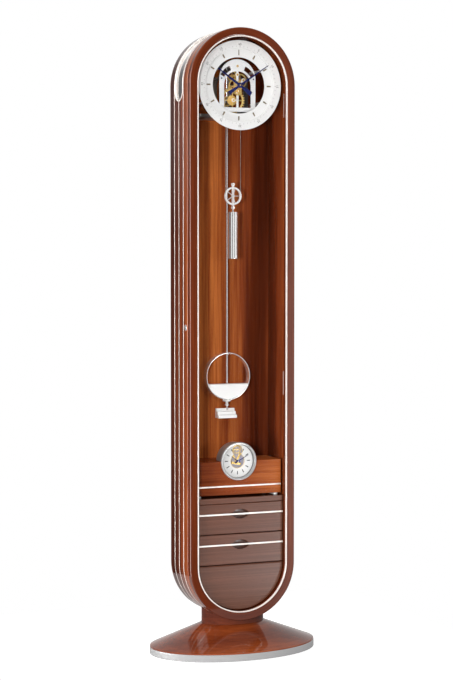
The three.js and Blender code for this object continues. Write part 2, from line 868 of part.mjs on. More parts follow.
// The minute arbor: its pinion, the centre wheel and the cannon pinion in front of the plate
function centreWheel() {
  return join(
    barY(1.8, minuteHandPlane - 1, hourHandPlane, 0, 0),
    barY(centreRadius, hourHandPlane - 1.5, centrePlane + 4, 0, 0),
    barY(arborRadius, centrePlane, rearPlate - 0.5),
    barY(pivotRadius, rearPlate - 1, rearPlate + plateGauge),
    gear(greatPinion, greatModule, facing(centreArbor, greatArbor, greatPinion), greatPlane - 1, greatPlane + 4),
    gear(centreTeeth, centreModule, bearing(centreArbor, thirdArbor), centrePlane, centrePlane + 2, 4),
    gear(cannonTeeth, motionModule, facing(centreArbor, motionArbor, cannonTeeth), cannonPlane - 0.5, plateInset - 0.5),
  )
}

function thirdWheel() {
  return join(
    barY(arborRadius, plateBack + 0.5, rearPlate - 0.5),
    barY(pivotRadius, plateInset, rearPlate + plateGauge),
    gear(thirdPinion, centreModule, facing(thirdArbor, centreArbor, thirdPinion), centrePlane - 1, centrePlane + 3),
    gear(thirdTeeth, thirdModule, bearing(thirdArbor, escapeArbor), thirdPlane, thirdPlane + 2, 4),
  )
}

function escapeWheel() {
  const windows = spokeWindows(5, escapeRadius * 0.7, 4, 2)
  return join(
    barY(arborRadius, plateBack + 0.5, rearPlate - 0.5),
    barY(pivotRadius, plateInset, rearPlate + plateGauge),
    plate(escapeOutline(), windows, escapePlane, escapePlane + 2),
    gear(escapePinion, thirdModule, facing(escapeArbor, thirdArbor, escapePinion), thirdPlane - 1, thirdPlane + 3),
  )
}

function motionWheel() {
  return cut(
    join(
      gear(minuteWheelTeeth, motionModule, bearing(motionArbor, centreArbor), cannonPlane, cannonPlane + 2, 4),
      gear(minutePinionTeeth, hourModule, facing(motionArbor, centreArbor, minutePinionTeeth), hourWheelPlane - 1, cannonPlane + 0.5),
      barY(2.3, hourWheelPlane - 1, plateInset - 0.5),
    ),
    boreY(1.4, hourWheelPlane - 5, plateInset + 1),
  )
}

function hourWheel() {
  return cut(
    join(
      gear(hourWheelTeeth, hourModule, bearing(centreArbor, motionArbor), hourWheelPlane, hourWheelPlane + 2, 4, centreRadius + 1),
      barY(4, hourHandPlane - 0.5, hourWheelPlane + 2.6, 0, 0, 20),
    ),
    boreY(centreRadius, hourHandPlane - 2, hourWheelPlane + 5),
  )
}

// The pallets are arcs about the pivot, held just clear of the escape wheel's teeth
function anchor() {
  const open = (palletAngle + palletClearance / escapeRadius / radians + 1) * radians
  const arms = [-1, 1].map((side) => {
    const from = -Math.PI / 2 + side * open
    const to = -Math.PI / 2 + side * Math.PI / 2
    return plate(sector(escapeRadius - 1.4, escapeRadius + 1.4, from, to, 5), [], escapePlane - 1, escapePlane + 3)
  })
  const reach = escapeRadius + 1.4
  const forkTop = -crutchLength + 4
  const prong = [rodRadius + runGap, rodRadius + 2]
  const crutchPlane = rearPlate + plateGauge + 4
  return join(
    barY(arborRadius, plateBack + 0.5, crutchPlane + 3),
    barY(pivotRadius, plateInset, plateBack + 1),
    barY(5, escapePlane - 2, escapePlane + 4, 0, 0, 20),
    block([-reach, reach], [escapePlane - 1, escapePlane + 3], [-0.5, 3.5]),
    ...arms,
    block([-2.5, 2.5], [crutchPlane, crutchPlane + 2], [-crutchLength, 3]),
    block([-prong[1], prong[1]], [crutchPlane, crutchPlane + 2], [-crutchLength, forkTop]),
    ...[-1, 1].map((side) => block(
      side < 0 ? [-prong[1], -prong[0]] : prong,
      [crutchPlane + 1, pendulumInset + rodRadius + 1], [-crutchLength, forkTop],
    )),
  )
}

// ---------------------------------------------------------------- pendulum
function suspensionCock() {
  const shoulder = pendulumInset + rodRadius + 2
  return join(
    block([-14, 14], [shoulder, backFace - seatGap], [-16, 12]),
    barY(2, pendulumInset - rodRadius - 1, shoulder + 1, 0, 0),
    barY(3.6, pendulumInset - rodRadius - 3, pendulumInset - rodRadius - 1, 0, 0),
  )
}

function pendulumRod() {
  const t = pendulumInset
  return cut(
    join(
      barY(6, t - rodRadius, t + rodRadius, 0, 0, 20),
      barZ(rodRadius, -pendulumLength - pointerDrop, -4, 0, t),
    ),
    boreY(2, t - rodRadius - 1, t + rodRadius + 1),
  )
}

// A thin ring whose lower part is filled below a level chord
function bobRingSolid() {
  const inner = bobRadius - bobRing
  const [t, t2] = [pendulumInset - bobDepth / 2, pendulumInset + bobDepth / 2]
  const low = Math.asin(-bobFillDrop / inner)
  const fill = plate(arcPoints(inner + 0.5, -Math.PI - low, low, 12), [], t + 2, t2 - 2)
  return cut(
    join(plate(circle(bobRadius, 40), [circle(inner, 40)], t, t2), fill),
    barZ(boreRadius(rodRadius, 10), -bobRadius - 5, bobRadius + 5, 0, pendulumInset),
  )
}

function ratingNut() {
  const top = -bobRadius - seatGap
  const bore = boreRadius(rodRadius, 16)
  const profile = [
    [bore, top], [nutRadius, top], [nutRadius, top - 5], [4.5, top - 6.5], [4.5, top - 15],
    [6.5, top - 16], [6.5, top - 19], [bore, top - 19],
  ]
  return turnedZ(profile, 16).translate([0, behind(pendulumInset), 0])
}

// Three steps that come forward from the back of the case under the pendulum's point
function beatScale() {
  const top = bobCentre - scaleDrop
  const steps = [0, 1, 2].map((i) => block(
    [-scaleWidth / 2, scaleWidth / 2], [backFace - seatGap - scaleStep * (i + 1), backFace - seatGap],
    [top - scaleStep * (i + 1), top - scaleStep * i],
  ))
  return join(...steps)
}

// ---------------------------------------------------------------- weight
const pulleyDrop = stirrupDrop
function pulley() {
  const half = pulleyWidth / 2
  const bed = pulleyRadius - 3 - seatGap
  const t = weightInset
  const rim = turnedY([
    [bed - 3.5, t - half], [pulleyRadius, t - half], [bed, t - cableRadius - 0.4], [bed, t + cableRadius + 0.4],
    [pulleyRadius, t + half], [bed - 3.5, t + half],
  ], 20)
  const spokes = Array.from({ length: 5 }, (_, i) => (
    block([3, bed - 2.5], [t - 1, t + 1], [-1, 1]).rotate([0, 72 * i + 18, 0])
  ))
  return cut(join(rim, barY(5, t - half, t + half, 0, 0, 20), ...spokes), boreY(2, t - half - 1, t + half + 1))
}

function stirrup() {
  const half = pulleyWidth / 2 + 1
  const wide = [-stirrupWidth / 2, stirrupWidth / 2]
  const high = stirrupLength / 2
  const t = weightInset
  const outer = half + stirrupGauge
  const sides = [-1, 1].map((side) => block(
    wide, side < 0 ? [t - outer, t - half] : [t + half, t + outer], [-high, high],
  ))
  const bridges = [-high, high - 6].map((z) => block(wide, [t - outer, t + outer], [z, z + 6]))
  return cut(join(...sides, ...bridges, barY(2, t - outer, t + outer, 0, 0)), barZ(boreRadius(2.5, 10), -high - 1, -high + 7, 0, t))
}

// A polished cylinder hung by a headed stem in the stirrup's lower bridge
function weightSolid() {
  const top = pulleyZ - stirrupLength / 2
  const body = upperCentre - weightTopDrop
  const profile = [
    [0, body - weightLength], [weightRadius - 1, body - weightLength], [weightRadius, body - weightLength + 1],
    [weightRadius, body - 1], [weightRadius - 1, body], [2.5, body], [2.5, top + 6 + seatGap],
    [3.8, top + 6 + seatGap], [3.8, top + 9], [0, top + 9],
  ]
  return turnedZ(profile, 20).translate([0, behind(weightInset), 0])
}

const pulleyZ = upperCentre - pulleyDrop

// The cable hangs as a long loop: down, under the pulley and up to the seat board
function hangingCable() {
  const high = seatBottom - seatGap
  const curve = new THREE.CurvePath()
  const y = behind(weightInset)
  const at = (x, z) => new THREE.Vector3(x, y, z)
  const bend = arcPoints(cableSpread, Math.PI, 2 * Math.PI, 16, 0, pulleyZ)
  const route = [at(-cableSpread, high), ...bend.map(([x, z]) => at(x, z)), at(cableSpread, high)]
  for (let i = 1; i < route.length; i++) curve.add(new THREE.LineCurve3(route[i - 1], route[i]))
  const section = shapeFrom(circle(cableRadius, 8))
  return solidFrom(sweep(section, route))
}

// One extrusion along a polyline, so the straight runs take one step each
function sweep(section, route) {
  const path = new THREE.CatmullRomCurve3(route)
  path.getPointAt = (share) => route[Math.round(share * (route.length - 1))].clone()
  path.getSpacedPoints = () => route.map((point) => point.clone())
  path.getTangentAt = (share) => {
    const i = Math.round(share * (route.length - 1))
    const before = route[Math.max(i - 1, 0)]
    const after = route[Math.min(i + 1, route.length - 1)]
    return after.clone().sub(before).normalize()
  }
  return new THREE.ExtrudeGeometry(section, { steps: route.length - 1, extrudePath: path, bevelEnabled: false })
}

// ---------------------------------------------------------------- cabinet and drawers
const frontBack = frontInset + frontThickness
const drawerTops = [0, 1].map((i) => cabinetTop - topBoard - grooveWidth / 2 - i * (drawerHeight + grooveWidth))
const trayHalf = insideRadius - 3

function drawerBay(top) {
  const low = top - drawerHeight
  return block([-trayHalf - 1.2, trayHalf + 1.2], [0, backFace + 20], [low + 1.5, top - 2])
}

function cabinetCarcass() {
  const bottom = lowerPanelTop - 5.5
  const room = plate(stadium(innerRadius - seatGap), [], 0, caseDepth)
  const body = block([-innerRadius, innerRadius], [frontBack + seatGap, backFace - seatGap], [bottom, cabinetTop])
  return join(
    cut(body.intersect(room), ...drawerTops.map(drawerBay)),
    block([-insideRadius, insideRadius], [frontInset, frontBack + 2], [cabinetTop - topBoard, cabinetTop]),
    plate(bowlOutline(insideRadius, lowerPanelTop), [], frontInset, frontBack),
    block([-insideRadius + 8, insideRadius - 8], [frontInset + 2, frontBack + 2], [bottom, lowerPanelTop]),
  )
}

const drawerMiddle = (top) => top - drawerHeight * 0.351

function drawer(top) {
  const low = top - drawerHeight
  const middle = drawerMiddle(top)
  const half = stripHeight / 2 + seatGap
  const tray = [low + 2.5, top - 16]
  return cut(
    join(
      block([-insideRadius, insideRadius], [frontInset, frontBack], [low, top]),
      block([-trayHalf, trayHalf], [frontBack - 1, frontBack + drawerDepth - frontThickness], tray),
    ),
    block(
      [-trayHalf + drawerWall, trayHalf - drawerWall],
      [frontBack, frontBack + drawerDepth - frontThickness - drawerWall], [tray[0] + 5, top + 1],
    ),
    plate(lens(pullWidth, pullHeight, 0, middle), [], frontInset - 1, frontInset + pullDepth),
    block([-caseWidth, caseWidth], [frontInset - 2, frontInset + stripThickness - 0.6 + seatGap], [middle - half, middle + half]),
  )
}

function strip(z, t) {
  const half = stripHeight / 2
  return block([-insideRadius, insideRadius], [t - 0.6, t + stripThickness - 0.6], [z - half, z + half])
}

// A thin runner with a pad at each end, between the cabinet and the shelf box
function standoff(x) {
  const low = cabinetTop + seatGap
  const high = boxBottom - seatGap
  const front = boxInset + standoffInset - 8
  return join(
    block([x - 4, x + 4], [front, backFace - 18], [low, low + 2]),
    barZ(7, low, high, x, front, 20),
    barZ(7, low, high, x, backFace - 18, 20),
  )
}

const shelfMiddle = boxTop - 0.5

// A box open at the back, with a round seat for the shelf clock
function shelfBox() {
  const half = insideRadius
  const rear = backFace - seatGap
  const seat = turnedY([
    [0, boxInset - 5], [shelfBodyRadius + seatGap, boxInset - 5],
    [shelfBodyRadius + seatGap, boxInset + shelfBodyDepth + seatGap], [0, boxInset + shelfBodyDepth + seatGap],
  ], 28).translate([0, 0, shelfMiddle])
  const groove = stripHeight / 2 + seatGap
  const level = boxBottom + boxStripRise
  return cut(
    block([-half, half], [boxInset, rear], [boxBottom, boxTop]),
    block([-half + boxWall, half - boxWall], [boxInset + boxWall, rear + 5], [boxBottom + boxWall, boxTop - boxWall]),
    seat,
    block([-half - 1, half + 1], [boxInset - 2, boxInset + stripThickness - 0.6 + seatGap], [level - groove, level + groove]),
  )
}

// ---------------------------------------------------------------- shelf clock
function shelfCase() {
  const start = bezelInset
  const shoulder = boxInset - seatGap
  const rear = boxInset + shelfBodyDepth
  const cup = turnedY([
    [0, rear], [shelfBodyRadius, rear], [shelfBodyRadius, shoulder], [bezelRadius, shoulder],
    [bezelRadius, start + 2], [bezelRadius - 2, start], [shelfBore, start], [shelfBore, rear - 3], [0, rear - 3],
  ], 28)
  const post = barY(2, start + 6, rear - 2, 0, 0)
  const staff = barY(1.4, start + shelfDialInset + 3, rear - 2, 0, balanceRise, 12)
  return join(cup, post, staff)
}

// A white dial with an open centre and a round window over the balance, on a skirt
function shelfDial() {
  const t = bezelInset + shelfDialInset
  const rear = boxInset + shelfBodyDepth - 3 - seatGap
  const face = plate(circle(shelfDialRadius, 28), [circle(20, 20), circle(15, 14, 0, balanceRise)], t, t + 2)
  const skirt = plate(circle(shelfDialRadius, 28), [circle(shelfDialRadius - 2, 28)], t + 1, rear)
  return join(face, skirt)
}

function balanceWheel() {
  const t = bezelInset + shelfDialInset + 5
  const rim = plate(circle(balanceRadius, 20), spokeWindows(3.5, balanceRadius - 2, 2, 2), t, t + 2)
  return cut(join(rim, barY(3, t - 0.5, t + 2.5, 0, 0, 12)), boreY(1.4, t - 3, t + 5, 0, 0, 12))
}

// ---------------------------------------------------------------- assembly
const cabinetStrip = (i) => strip(drawerMiddle(drawerTops[i]), frontInset)
const shelfPlace = [0, 0, shelfMiddle]
const pivotPlace = [pivot.x, 0, pivot.z]
const bobPlace = [pivot.x, 0, bobCentre]
const pulleyPlace = [0, 0, pulleyZ]

const clock = group(
  group(
    sub('base_pad', basePad(), looks.rubber),
    sub('base_plate', basePlate(), looks.steel),
    sub('base_cone', baseCone(), looks.wood),
    sub('neck', neck(), looks.wood),
  ),
  group(
    sub('case_shell', caseShell(), looks.wood),
    sub('back_panel', backPanel(), looks.darkWood),
    sub('inlay_front', inlay(inlayCentre - inlaySpacing), looks.polished),
    sub('inlay_middle', belowSkylight(inlay(inlayCentre), seatGap), looks.polished),
    sub('inlay_rear', inlay(inlayCentre + inlaySpacing), looks.polished),
    sub('skylight_bezel', skylightBezel(), looks.polished),
    sub('skylight_pane', skylightPane(), looks.glass),
    sub('lock_barrel', lockBarrel(), looks.polished),
  ),
  group(
    sub('door_frame', doorFrame(), looks.darkWood),
    sub('door_trim', doorTrim(), looks.polished),
    sub('door_pane', doorPane(), looks.glass),
    sub('lock_strike', lockStrike(), looks.steel),
    sub('hinge_case_upper', hingeCaseLeaf(upperHingeDrop), looks.polished),
    sub('hinge_door_upper', hingeDoorLeaf(upperHingeDrop), looks.polished),
    sub('hinge_case_lower', hingeCaseLeaf(lowerHingeDrop), looks.polished),
    sub('hinge_door_lower', hingeDoorLeaf(lowerHingeDrop), looks.polished),
  ),
  group(
    sub('minute_ring', minuteRing(), looks.white, atArbor(centreArbor)),
    sub('hour_ring', hourRing(), looks.white, atArbor(centreArbor)),
    sub('minute_hand', dialHand(minuteHandReach, minuteHandTail, 7, 1.8, minuteHandPlane), looks.blued,
      atArbor(centreArbor), minuteAngle * radians),
    sub('hour_hand', dialHand(hourHandReach, hourHandTail, 9, 4, hourHandPlane), looks.blued,
      atArbor(centreArbor), hourAngle * radians),
  ),
  group(
    sub('seat_board', seatBoard(), looks.steel),
    sub('front_plate', frontPlate(), looks.steel),
    sub('rear_plate', backPlate(), looks.steel),
    sub('winding_drum', drumTool(), looks.brass, atArbor(greatArbor)),
    sub('wound_cable', woundCable(), looks.cable),
    sub('great_wheel', greatWheel(), looks.brass, atArbor(greatArbor)),
    sub('centre_wheel', centreWheel(), looks.brass, atArbor(centreArbor)),
    sub('hour_wheel', hourWheel(), looks.brass, atArbor(centreArbor)),
    sub('motion_wheel', motionWheel(), looks.brass, atArbor(motionArbor)),
    sub('third_wheel', thirdWheel(), looks.brass, atArbor(thirdArbor)),
    sub('escape_wheel', escapeWheel(), looks.brass, atArbor(escapeArbor)),
    sub('anchor', anchor(), looks.steel, pivotPlace),
  ),
  group(
    sub('suspension_cock', suspensionCock(), looks.steel, pivotPlace),
    sub('pendulum_rod', pendulumRod(), looks.polished, pivotPlace),
    sub('bob', bobRingSolid(), looks.polished, bobPlace),
    sub('rating_nut', ratingNut(), looks.polished, bobPlace),
    sub('beat_scale', beatScale(), looks.steel),
  ),
  group(
    sub('weight', weightSolid(), looks.polished),
    sub('stirrup', stirrup(), looks.polished, pulleyPlace),
    sub('pulley', pulley(), looks.brass, pulleyPlace),
    sub('weight_cable', hangingCable(), looks.cable),
  ),
  group(
    sub('cabinet', cabinetCarcass(), looks.wood),
    sub('drawer_upper', drawer(drawerTops[0]), looks.wood),
    sub('drawer_lower', drawer(drawerTops[1]), looks.wood),
    sub('strip_upper', cabinetStrip(0), looks.polished),
    sub('strip_lower', cabinetStrip(1), looks.polished),
    sub('standoff_left', standoff(-standoffSpread), looks.polished),
    sub('standoff_right', standoff(standoffSpread), looks.polished),
    sub('shelf_box', shelfBox(), looks.wood),
    sub('strip_box', strip(boxBottom + boxStripRise, boxInset), looks.polished),
  ),
  group(
    sub('shelf_case', shelfCase(), looks.polished, shelfPlace),
    sub('shelf_dial', shelfDial(), looks.white, shelfPlace),
    sub('shelf_minute_hand', hand(shelfMinuteHand, 12, 3.4, 2, bezelInset + 7.5), looks.blued,
      shelfPlace, shelfMinuteAngle * radians),
    sub('shelf_hour_hand', hand(shelfHourHand, 9, 4, 2, bezelInset + 10), looks.blued,
      shelfPlace, shelfHourAngle * radians),
    sub('balance_wheel', balanceWheel(), looks.brass, [0, 0, shelfMiddle + balanceRise]),
  ),
)
clock.name = 'grandfather_clock'

export default clock
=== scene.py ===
# Looks for the tall round-ended clock: lacquered wood, polished trims, open dial and movement.
# Metres, in the same frame as the solids: +Z up, the door faces -Y.
import math
import bmesh
import bpy
import numpy as np
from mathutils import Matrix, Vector


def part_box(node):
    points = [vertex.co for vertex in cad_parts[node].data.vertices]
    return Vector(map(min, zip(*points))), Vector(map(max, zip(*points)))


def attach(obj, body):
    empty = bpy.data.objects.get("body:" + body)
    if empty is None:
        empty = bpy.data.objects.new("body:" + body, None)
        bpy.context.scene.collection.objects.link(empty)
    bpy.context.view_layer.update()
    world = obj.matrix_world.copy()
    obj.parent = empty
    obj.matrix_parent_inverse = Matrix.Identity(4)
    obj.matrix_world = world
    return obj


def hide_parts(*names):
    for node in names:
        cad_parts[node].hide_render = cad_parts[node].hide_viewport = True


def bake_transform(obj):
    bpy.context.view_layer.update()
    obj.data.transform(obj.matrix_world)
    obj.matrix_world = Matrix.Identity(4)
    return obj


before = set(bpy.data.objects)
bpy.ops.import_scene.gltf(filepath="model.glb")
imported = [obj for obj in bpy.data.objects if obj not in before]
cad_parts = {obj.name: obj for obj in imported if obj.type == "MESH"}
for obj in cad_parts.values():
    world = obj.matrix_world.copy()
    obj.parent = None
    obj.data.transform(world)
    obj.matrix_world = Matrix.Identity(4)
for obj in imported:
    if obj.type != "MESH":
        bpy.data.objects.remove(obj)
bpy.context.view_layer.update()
print("frame loaded")

fullTurn = 2 * math.pi
mm = 0.001


def lowHigh(node):
    # the two far corners of a node's box
    low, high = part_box(node)
    return np.array(low), np.array(high)


caseLow, caseHigh = lowHigh("case_shell")
caseRadius = (caseHigh[0] - caseLow[0]) / 2
lowerCentre = caseLow[2] + caseRadius
upperCentre = caseHigh[2] - caseRadius
wallRadius = lowHigh("back_panel")[1][0] + 0.3 * mm
doorLow, doorHigh = lowHigh("door_frame")
dialCentre = upperCentre


# tools that make, join and place meshes
class Form:
    # gathers patches of surface, then makes one mesh of them
    def __init__(self):
        self.points, self.faces, self.uvs, self.count = [], [], [], 0

    def patch(self, points, uv=None):
        # a grid of points, each cell of it one face
        rows, columns = points.shape[:2]
        index = np.arange(rows * columns).reshape(rows, columns) + self.count
        cells = np.stack([index[:-1, :-1], index[1:, :-1], index[1:, 1:], index[:-1, 1:]], -1)
        self.faces += cells.reshape(-1, 4).tolist()
        return self.keep(points, uv)

    def lid(self, ring, uv=None):
        # one flat face inside a ring of points
        self.faces.append(list(range(self.count, self.count + len(ring))))
        return self.keep(ring, uv)

    def keep(self, points, uv):
        # adds points and their layout to what is gathered
        flat = points.reshape(-1, 3)
        self.points.append(flat)
        self.uvs.append(np.zeros((len(flat), 2)) if uv is None else uv.reshape(-1, 2))
        self.count += len(flat)
        return self

    def mesh(self, name):
        # the gathered patches as one mesh, with how the surface flows as its layout
        mesh = bpy.data.meshes.new(name)
        mesh.from_pydata(np.concatenate(self.points).tolist(), [], self.faces)
        corner = np.empty(len(mesh.loops), np.int32)
        mesh.loops.foreach_get("vertex_index", corner)
        flow = np.concatenate(self.uvs)[corner].astype(np.float32)
        mesh.uv_layers.new(name="flow").data.foreach_set("uv", flow.ravel())
        return mesh


def keepFlat(mesh, ratio=8, least=6):
    # an edge between a broad face and a narrow one is kept sharp, so that the broad face stays truly flat
    corners, faces = len(mesh.loops), len(mesh.polygons)
    edge, total = np.empty(corners, np.int32), np.empty(faces, np.int32)
    area, normal = np.empty(faces, np.float32), np.empty(faces * 3, np.float32)
    sharp = np.empty(len(mesh.edges), bool)
    mesh.loops.foreach_get("edge_index", edge)
    mesh.polygons.foreach_get("loop_total", total)
    mesh.polygons.foreach_get("area", area)
    mesh.polygons.foreach_get("normal", normal)
    mesh.edges.foreach_get("use_edge_sharp", sharp)
    uses = np.bincount(edge, minlength=len(sharp))
    first = (np.cumsum(uses) - uses)[uses == 2]
    face = np.repeat(np.arange(faces), total)[np.argsort(edge, kind="stable")]
    one, two = face[first], face[first + 1]
    normal = normal.reshape(-1, 3)
    bend = (normal[one] * normal[two]).sum(1) < math.cos(math.radians(least))
    broad = np.maximum(area[one], area[two]) > ratio * np.minimum(area[one], area[two])
    sharp[uses == 2] |= bend & broad
    mesh.edges.foreach_set("use_edge_sharp", sharp)


def tidyMesh(mesh, sharp=38):
    # joins doubled points, turns every shell outwards and smooths all but the sharp edges
    work = bmesh.new()
    work.from_mesh(mesh)
    bmesh.ops.remove_doubles(work, verts=work.verts, dist=2e-6)
    bmesh.ops.dissolve_degenerate(work, edges=work.edges, dist=1e-7)
    bmesh.ops.recalc_face_normals(work, faces=work.faces)
    work.to_mesh(mesh)
    work.free()
    mesh.polygons.foreach_set("use_smooth", np.ones(len(mesh.polygons), bool))
    mesh.set_sharp_from_angle(angle=math.radians(sharp))
    keepFlat(mesh)
    mesh.update()
    return mesh


def place(source, name, body, finish, stands=(), sharp=38):
    # source is a Form or a mesh; the piece rides on body and stands for the solids named
    mesh = source.mesh(name) if isinstance(source, Form) else source
    mesh.name = name
    tidyMesh(mesh, sharp)
    piece = bpy.data.objects.new(name, mesh)
    bpy.context.scene.collection.objects.link(piece)
    mesh.materials.clear()
    mesh.materials.append(finish)
    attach(piece, body)
    if stands:
        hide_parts(*([stands] if isinstance(stands, str) else stands))
    return piece


def rounded(corners, radius, steps=3):
    # a closed outline with each corner eased by a curve: (1 - t)^2 start + 2 t (1 - t) corner + t^2 end
    corners = np.array(corners, float)
    before, after = np.roll(corners, 1, 0), np.roll(corners, -1, 0)
    out = []
    for a, b, c in zip(before, corners, after):
        inward, onward = (a - b) / np.linalg.norm(a - b), (c - b) / np.linalg.norm(c - b)
        reach = min(radius, np.linalg.norm(a - b) * 0.45, np.linalg.norm(c - b) * 0.45)
        t = np.linspace(0, 1, steps + 1)[:, None]
        start, end = b + inward * reach, b + onward * reach
        out.append((1 - t) ** 2 * start + 2 * t * (1 - t) * b + t ** 2 * end)
    return np.concatenate(out)


def loop(points):
    # the same points, closed on the first
    return np.concatenate([points, points[:1]])


def lengths(points):
    # how far along the line each point lies
    return np.concatenate([[0], np.cumsum(np.linalg.norm(np.diff(points, axis=0), axis=1))])


def turned(profile, centre=(0, 0), steps=96):
    # a profile of radius r and depth spun about a level line: x = r sin(angle), z = r cos(angle)
    profile = np.array(profile, float)
    angle = np.linspace(0, fullTurn, steps + 1)[:, None]
    r, y = profile[:, 0][None], np.broadcast_to(profile[:, 1][None], (steps + 1, len(profile)))
    points = np.stack([centre[0] + r * np.sin(angle), y, centre[1] + r * np.cos(angle)], -1)
    uv = np.stack(np.broadcast_arrays(angle * profile[:, 0].max(), lengths(profile)[None]), -1)
    return Form().patch(points, uv)


def spun(profile, centre=(0, 0), steps=96, squash=1):
    # a profile of radius r and height spun about an upright line: x = r cos(angle), y = r squash sin(angle)
    profile = np.array(profile, float)
    angle = np.linspace(0, fullTurn, steps + 1)[:, None]
    r, z = profile[:, 0][None], np.broadcast_to(profile[:, 1][None], (steps + 1, len(profile)))
    points = np.stack([centre[0] + r * np.cos(angle), centre[1] + r * squash * np.sin(angle), z], -1)
    uv = np.stack(np.broadcast_arrays(angle * profile[:, 0].max(), lengths(profile)[None]), -1)
    return Form().patch(points, uv)


def hoopLine(arcs=56, straights=10, top=None):
    # the case's outline from one side round the bottom to the other: outward direction, centre height
    # and length along it; it stops level with top, or goes on over the arch and closes
    low = np.linspace(-math.pi, 0, arcs + 1)
    high = upperCentre if top is None else top
    rise = np.linspace(lowerCentre, high, straights + 1)[1:]
    angle = np.concatenate([np.full(straights, -math.pi), low, np.zeros(straights)])
    centre = np.concatenate([rise[::-1], np.full(arcs + 1, lowerCentre), rise])
    if top is None:
        over = np.linspace(0, math.pi, arcs + 1)[1:]
        angle = np.concatenate([angle, over])
        centre = np.concatenate([centre, np.full(arcs, upperCentre)])
    out = np.stack([np.cos(angle), np.sin(angle)], 1)
    spine = np.stack([out[:, 0] * caseRadius, centre + out[:, 1] * caseRadius], 1)
    return out, centre, lengths(spine)


def hoopProfile(inner, outer, front, back, edge, steps=3):
    # a square section of radius and depth with eased edges
    return rounded([[inner, front], [outer, front], [outer, back], [inner, back]], edge, steps)


def collar(inner, outer, front, back, edge, spot, steps=48, ease=2):
    # a ring of square section, its edges eased, turned about a level line
    return turned(loop(hoopProfile(inner, outer, front, back, edge, ease)), spot, steps)


def hoop(profile, top=None):
    # a closed profile of radius r and depth carried along the case's outline: centre + r * outward
    out, centre, along = hoopLine(top=top)
    ring = loop(np.array(profile, float))
    r, y = ring[:, 0][None], ring[:, 1][None]
    points = np.stack(np.broadcast_arrays(out[:, :1] * r, y, centre[:, None] + out[:, 1:] * r), -1)
    uv = np.stack(np.broadcast_arrays(along[:, None], lengths(ring)[None]), -1)
    form = Form().patch(points, uv)
    if top is not None:
        form.lid(points[0, :-1]).lid(points[-1, :-1])
    return form


def block(low, high, bevel=0.5 * mm, steps=2):
    # a box with its edges rounded over: the rounded outline seen from the front, stepped in at both faces
    low, high = np.array(low, float), np.array(high, float)
    form = Form()
    turn = np.linspace(0, math.pi / 2, steps + 1)
    inset = bevel * (1 - np.sin(turn))
    insets = np.concatenate([inset, inset[::-1]])
    ease = bevel * (1 - np.cos(turn))
    depths = np.concatenate([low[1] + ease, (high[1] - ease)[::-1]])
    rings = []
    for inset, depth in zip(insets, depths):
        x, x2, z, z2 = low[0] + inset, high[0] - inset, low[2] + inset, high[2] - inset
        ring = rounded([[x, z], [x2, z], [x2, z2], [x, z2]], max(bevel - inset, 1e-5) + 1e-5, steps)
        rings.append(np.stack([ring[:, 0], np.full(len(ring), depth), ring[:, 1]], 1))
    rings = np.stack(rings)
    closed = np.concatenate([rings, rings[:, :1]], 1)
    form.patch(closed, closed[..., [0, 2]])
    return form.lid(rings[0], rings[0][:, [0, 2]]).lid(rings[-1], rings[-1][:, [0, 2]])


def bakeCurve(curve):
    # makes a plain mesh of a curve or of lettering
    holder = bpy.data.objects.new("holder", curve)
    bpy.context.scene.collection.objects.link(holder)
    mesh = bpy.data.meshes.new_from_object(holder.evaluated_get(bpy.context.evaluated_depsgraph_get()))
    bpy.data.objects.remove(holder)
    return mesh


def turnedMesh(mesh, angle=0, centre=(0, 0), depth=0):
    # stands a flat mesh up to face the front, turned clockwise about its centre
    co = np.empty(len(mesh.vertices) * 3, np.float32)
    mesh.vertices.foreach_get("co", co)
    x, y, z = co.reshape(-1, 3).T
    c, s = math.cos(angle), math.sin(angle)
    out = np.stack([centre[0] + x * c + y * s, depth - z, centre[1] - x * s + y * c], 1)
    mesh.vertices.foreach_set("co", out.ravel())
    return mesh


def flatPlate(outlines, front, back, bevel=0.25 * mm, steps=2, angle=0, centre=(0, 0)):
    # outlines of x and z, the first the rim and the rest holes, drawn out from front to back with eased rims
    curve = bpy.data.curves.new("plate", "CURVE")
    curve.dimensions, curve.fill_mode = "2D", "BOTH"
    curve.extrude = (back - front) / 2 - bevel
    curve.bevel_depth, curve.bevel_resolution, curve.offset = bevel, steps, -bevel
    for outline in outlines:
        outline = np.array(outline, float)
        spline = curve.splines.new("POLY")
        spline.points.add(len(outline) - 1)
        full = np.concatenate([outline, np.zeros((len(outline), 1)), np.ones((len(outline), 1))], 1)
        spline.points.foreach_set("co", full.astype(np.float32).ravel())
        spline.use_cyclic_u = True
    return turnedMesh(bakeCurve(curve), angle, centre, (front + back) / 2)


def joined(*meshes):
    # several meshes as one, each keeping its own shells
    points, faces, count = [], [], 0
    for source in meshes:
        mesh = source.mesh("part") if isinstance(source, Form) else source
        co = np.empty(len(mesh.vertices) * 3, np.float32)
        mesh.vertices.foreach_get("co", co)
        points.append(co.reshape(-1, 3))
        faces += [[v + count for v in face.vertices] for face in mesh.polygons]
        count += len(mesh.vertices)
    out = bpy.data.meshes.new("joined")
    out.from_pydata(np.concatenate(points).tolist(), [], faces)
    return out


def arc(radius, start, end, steps, x=0, z=0):
    # points (x + r cos, z + r sin) of a circle between two angles
    angle = np.linspace(start, end, steps + 1)
    return np.stack([x + radius * np.cos(angle), z + radius * np.sin(angle)], 1)


def circle(radius, steps=48, x=0, z=0):
    # a whole circle, its first point not repeated
    return arc(radius, 0, fullTurn * (1 - 1 / steps), steps - 1, x, z)


def rod(radius, front, back, centre=(0, 0), steps=32, edge=0.15 * mm):
    # a round bar from front to back, its two rims eased
    start, end = front + edge, back - edge
    ring = [[0, front], [radius - edge, front], [radius, start], [radius, end], [radius - edge, back],
            [0, back]]
    return turned(ring, centre, steps)


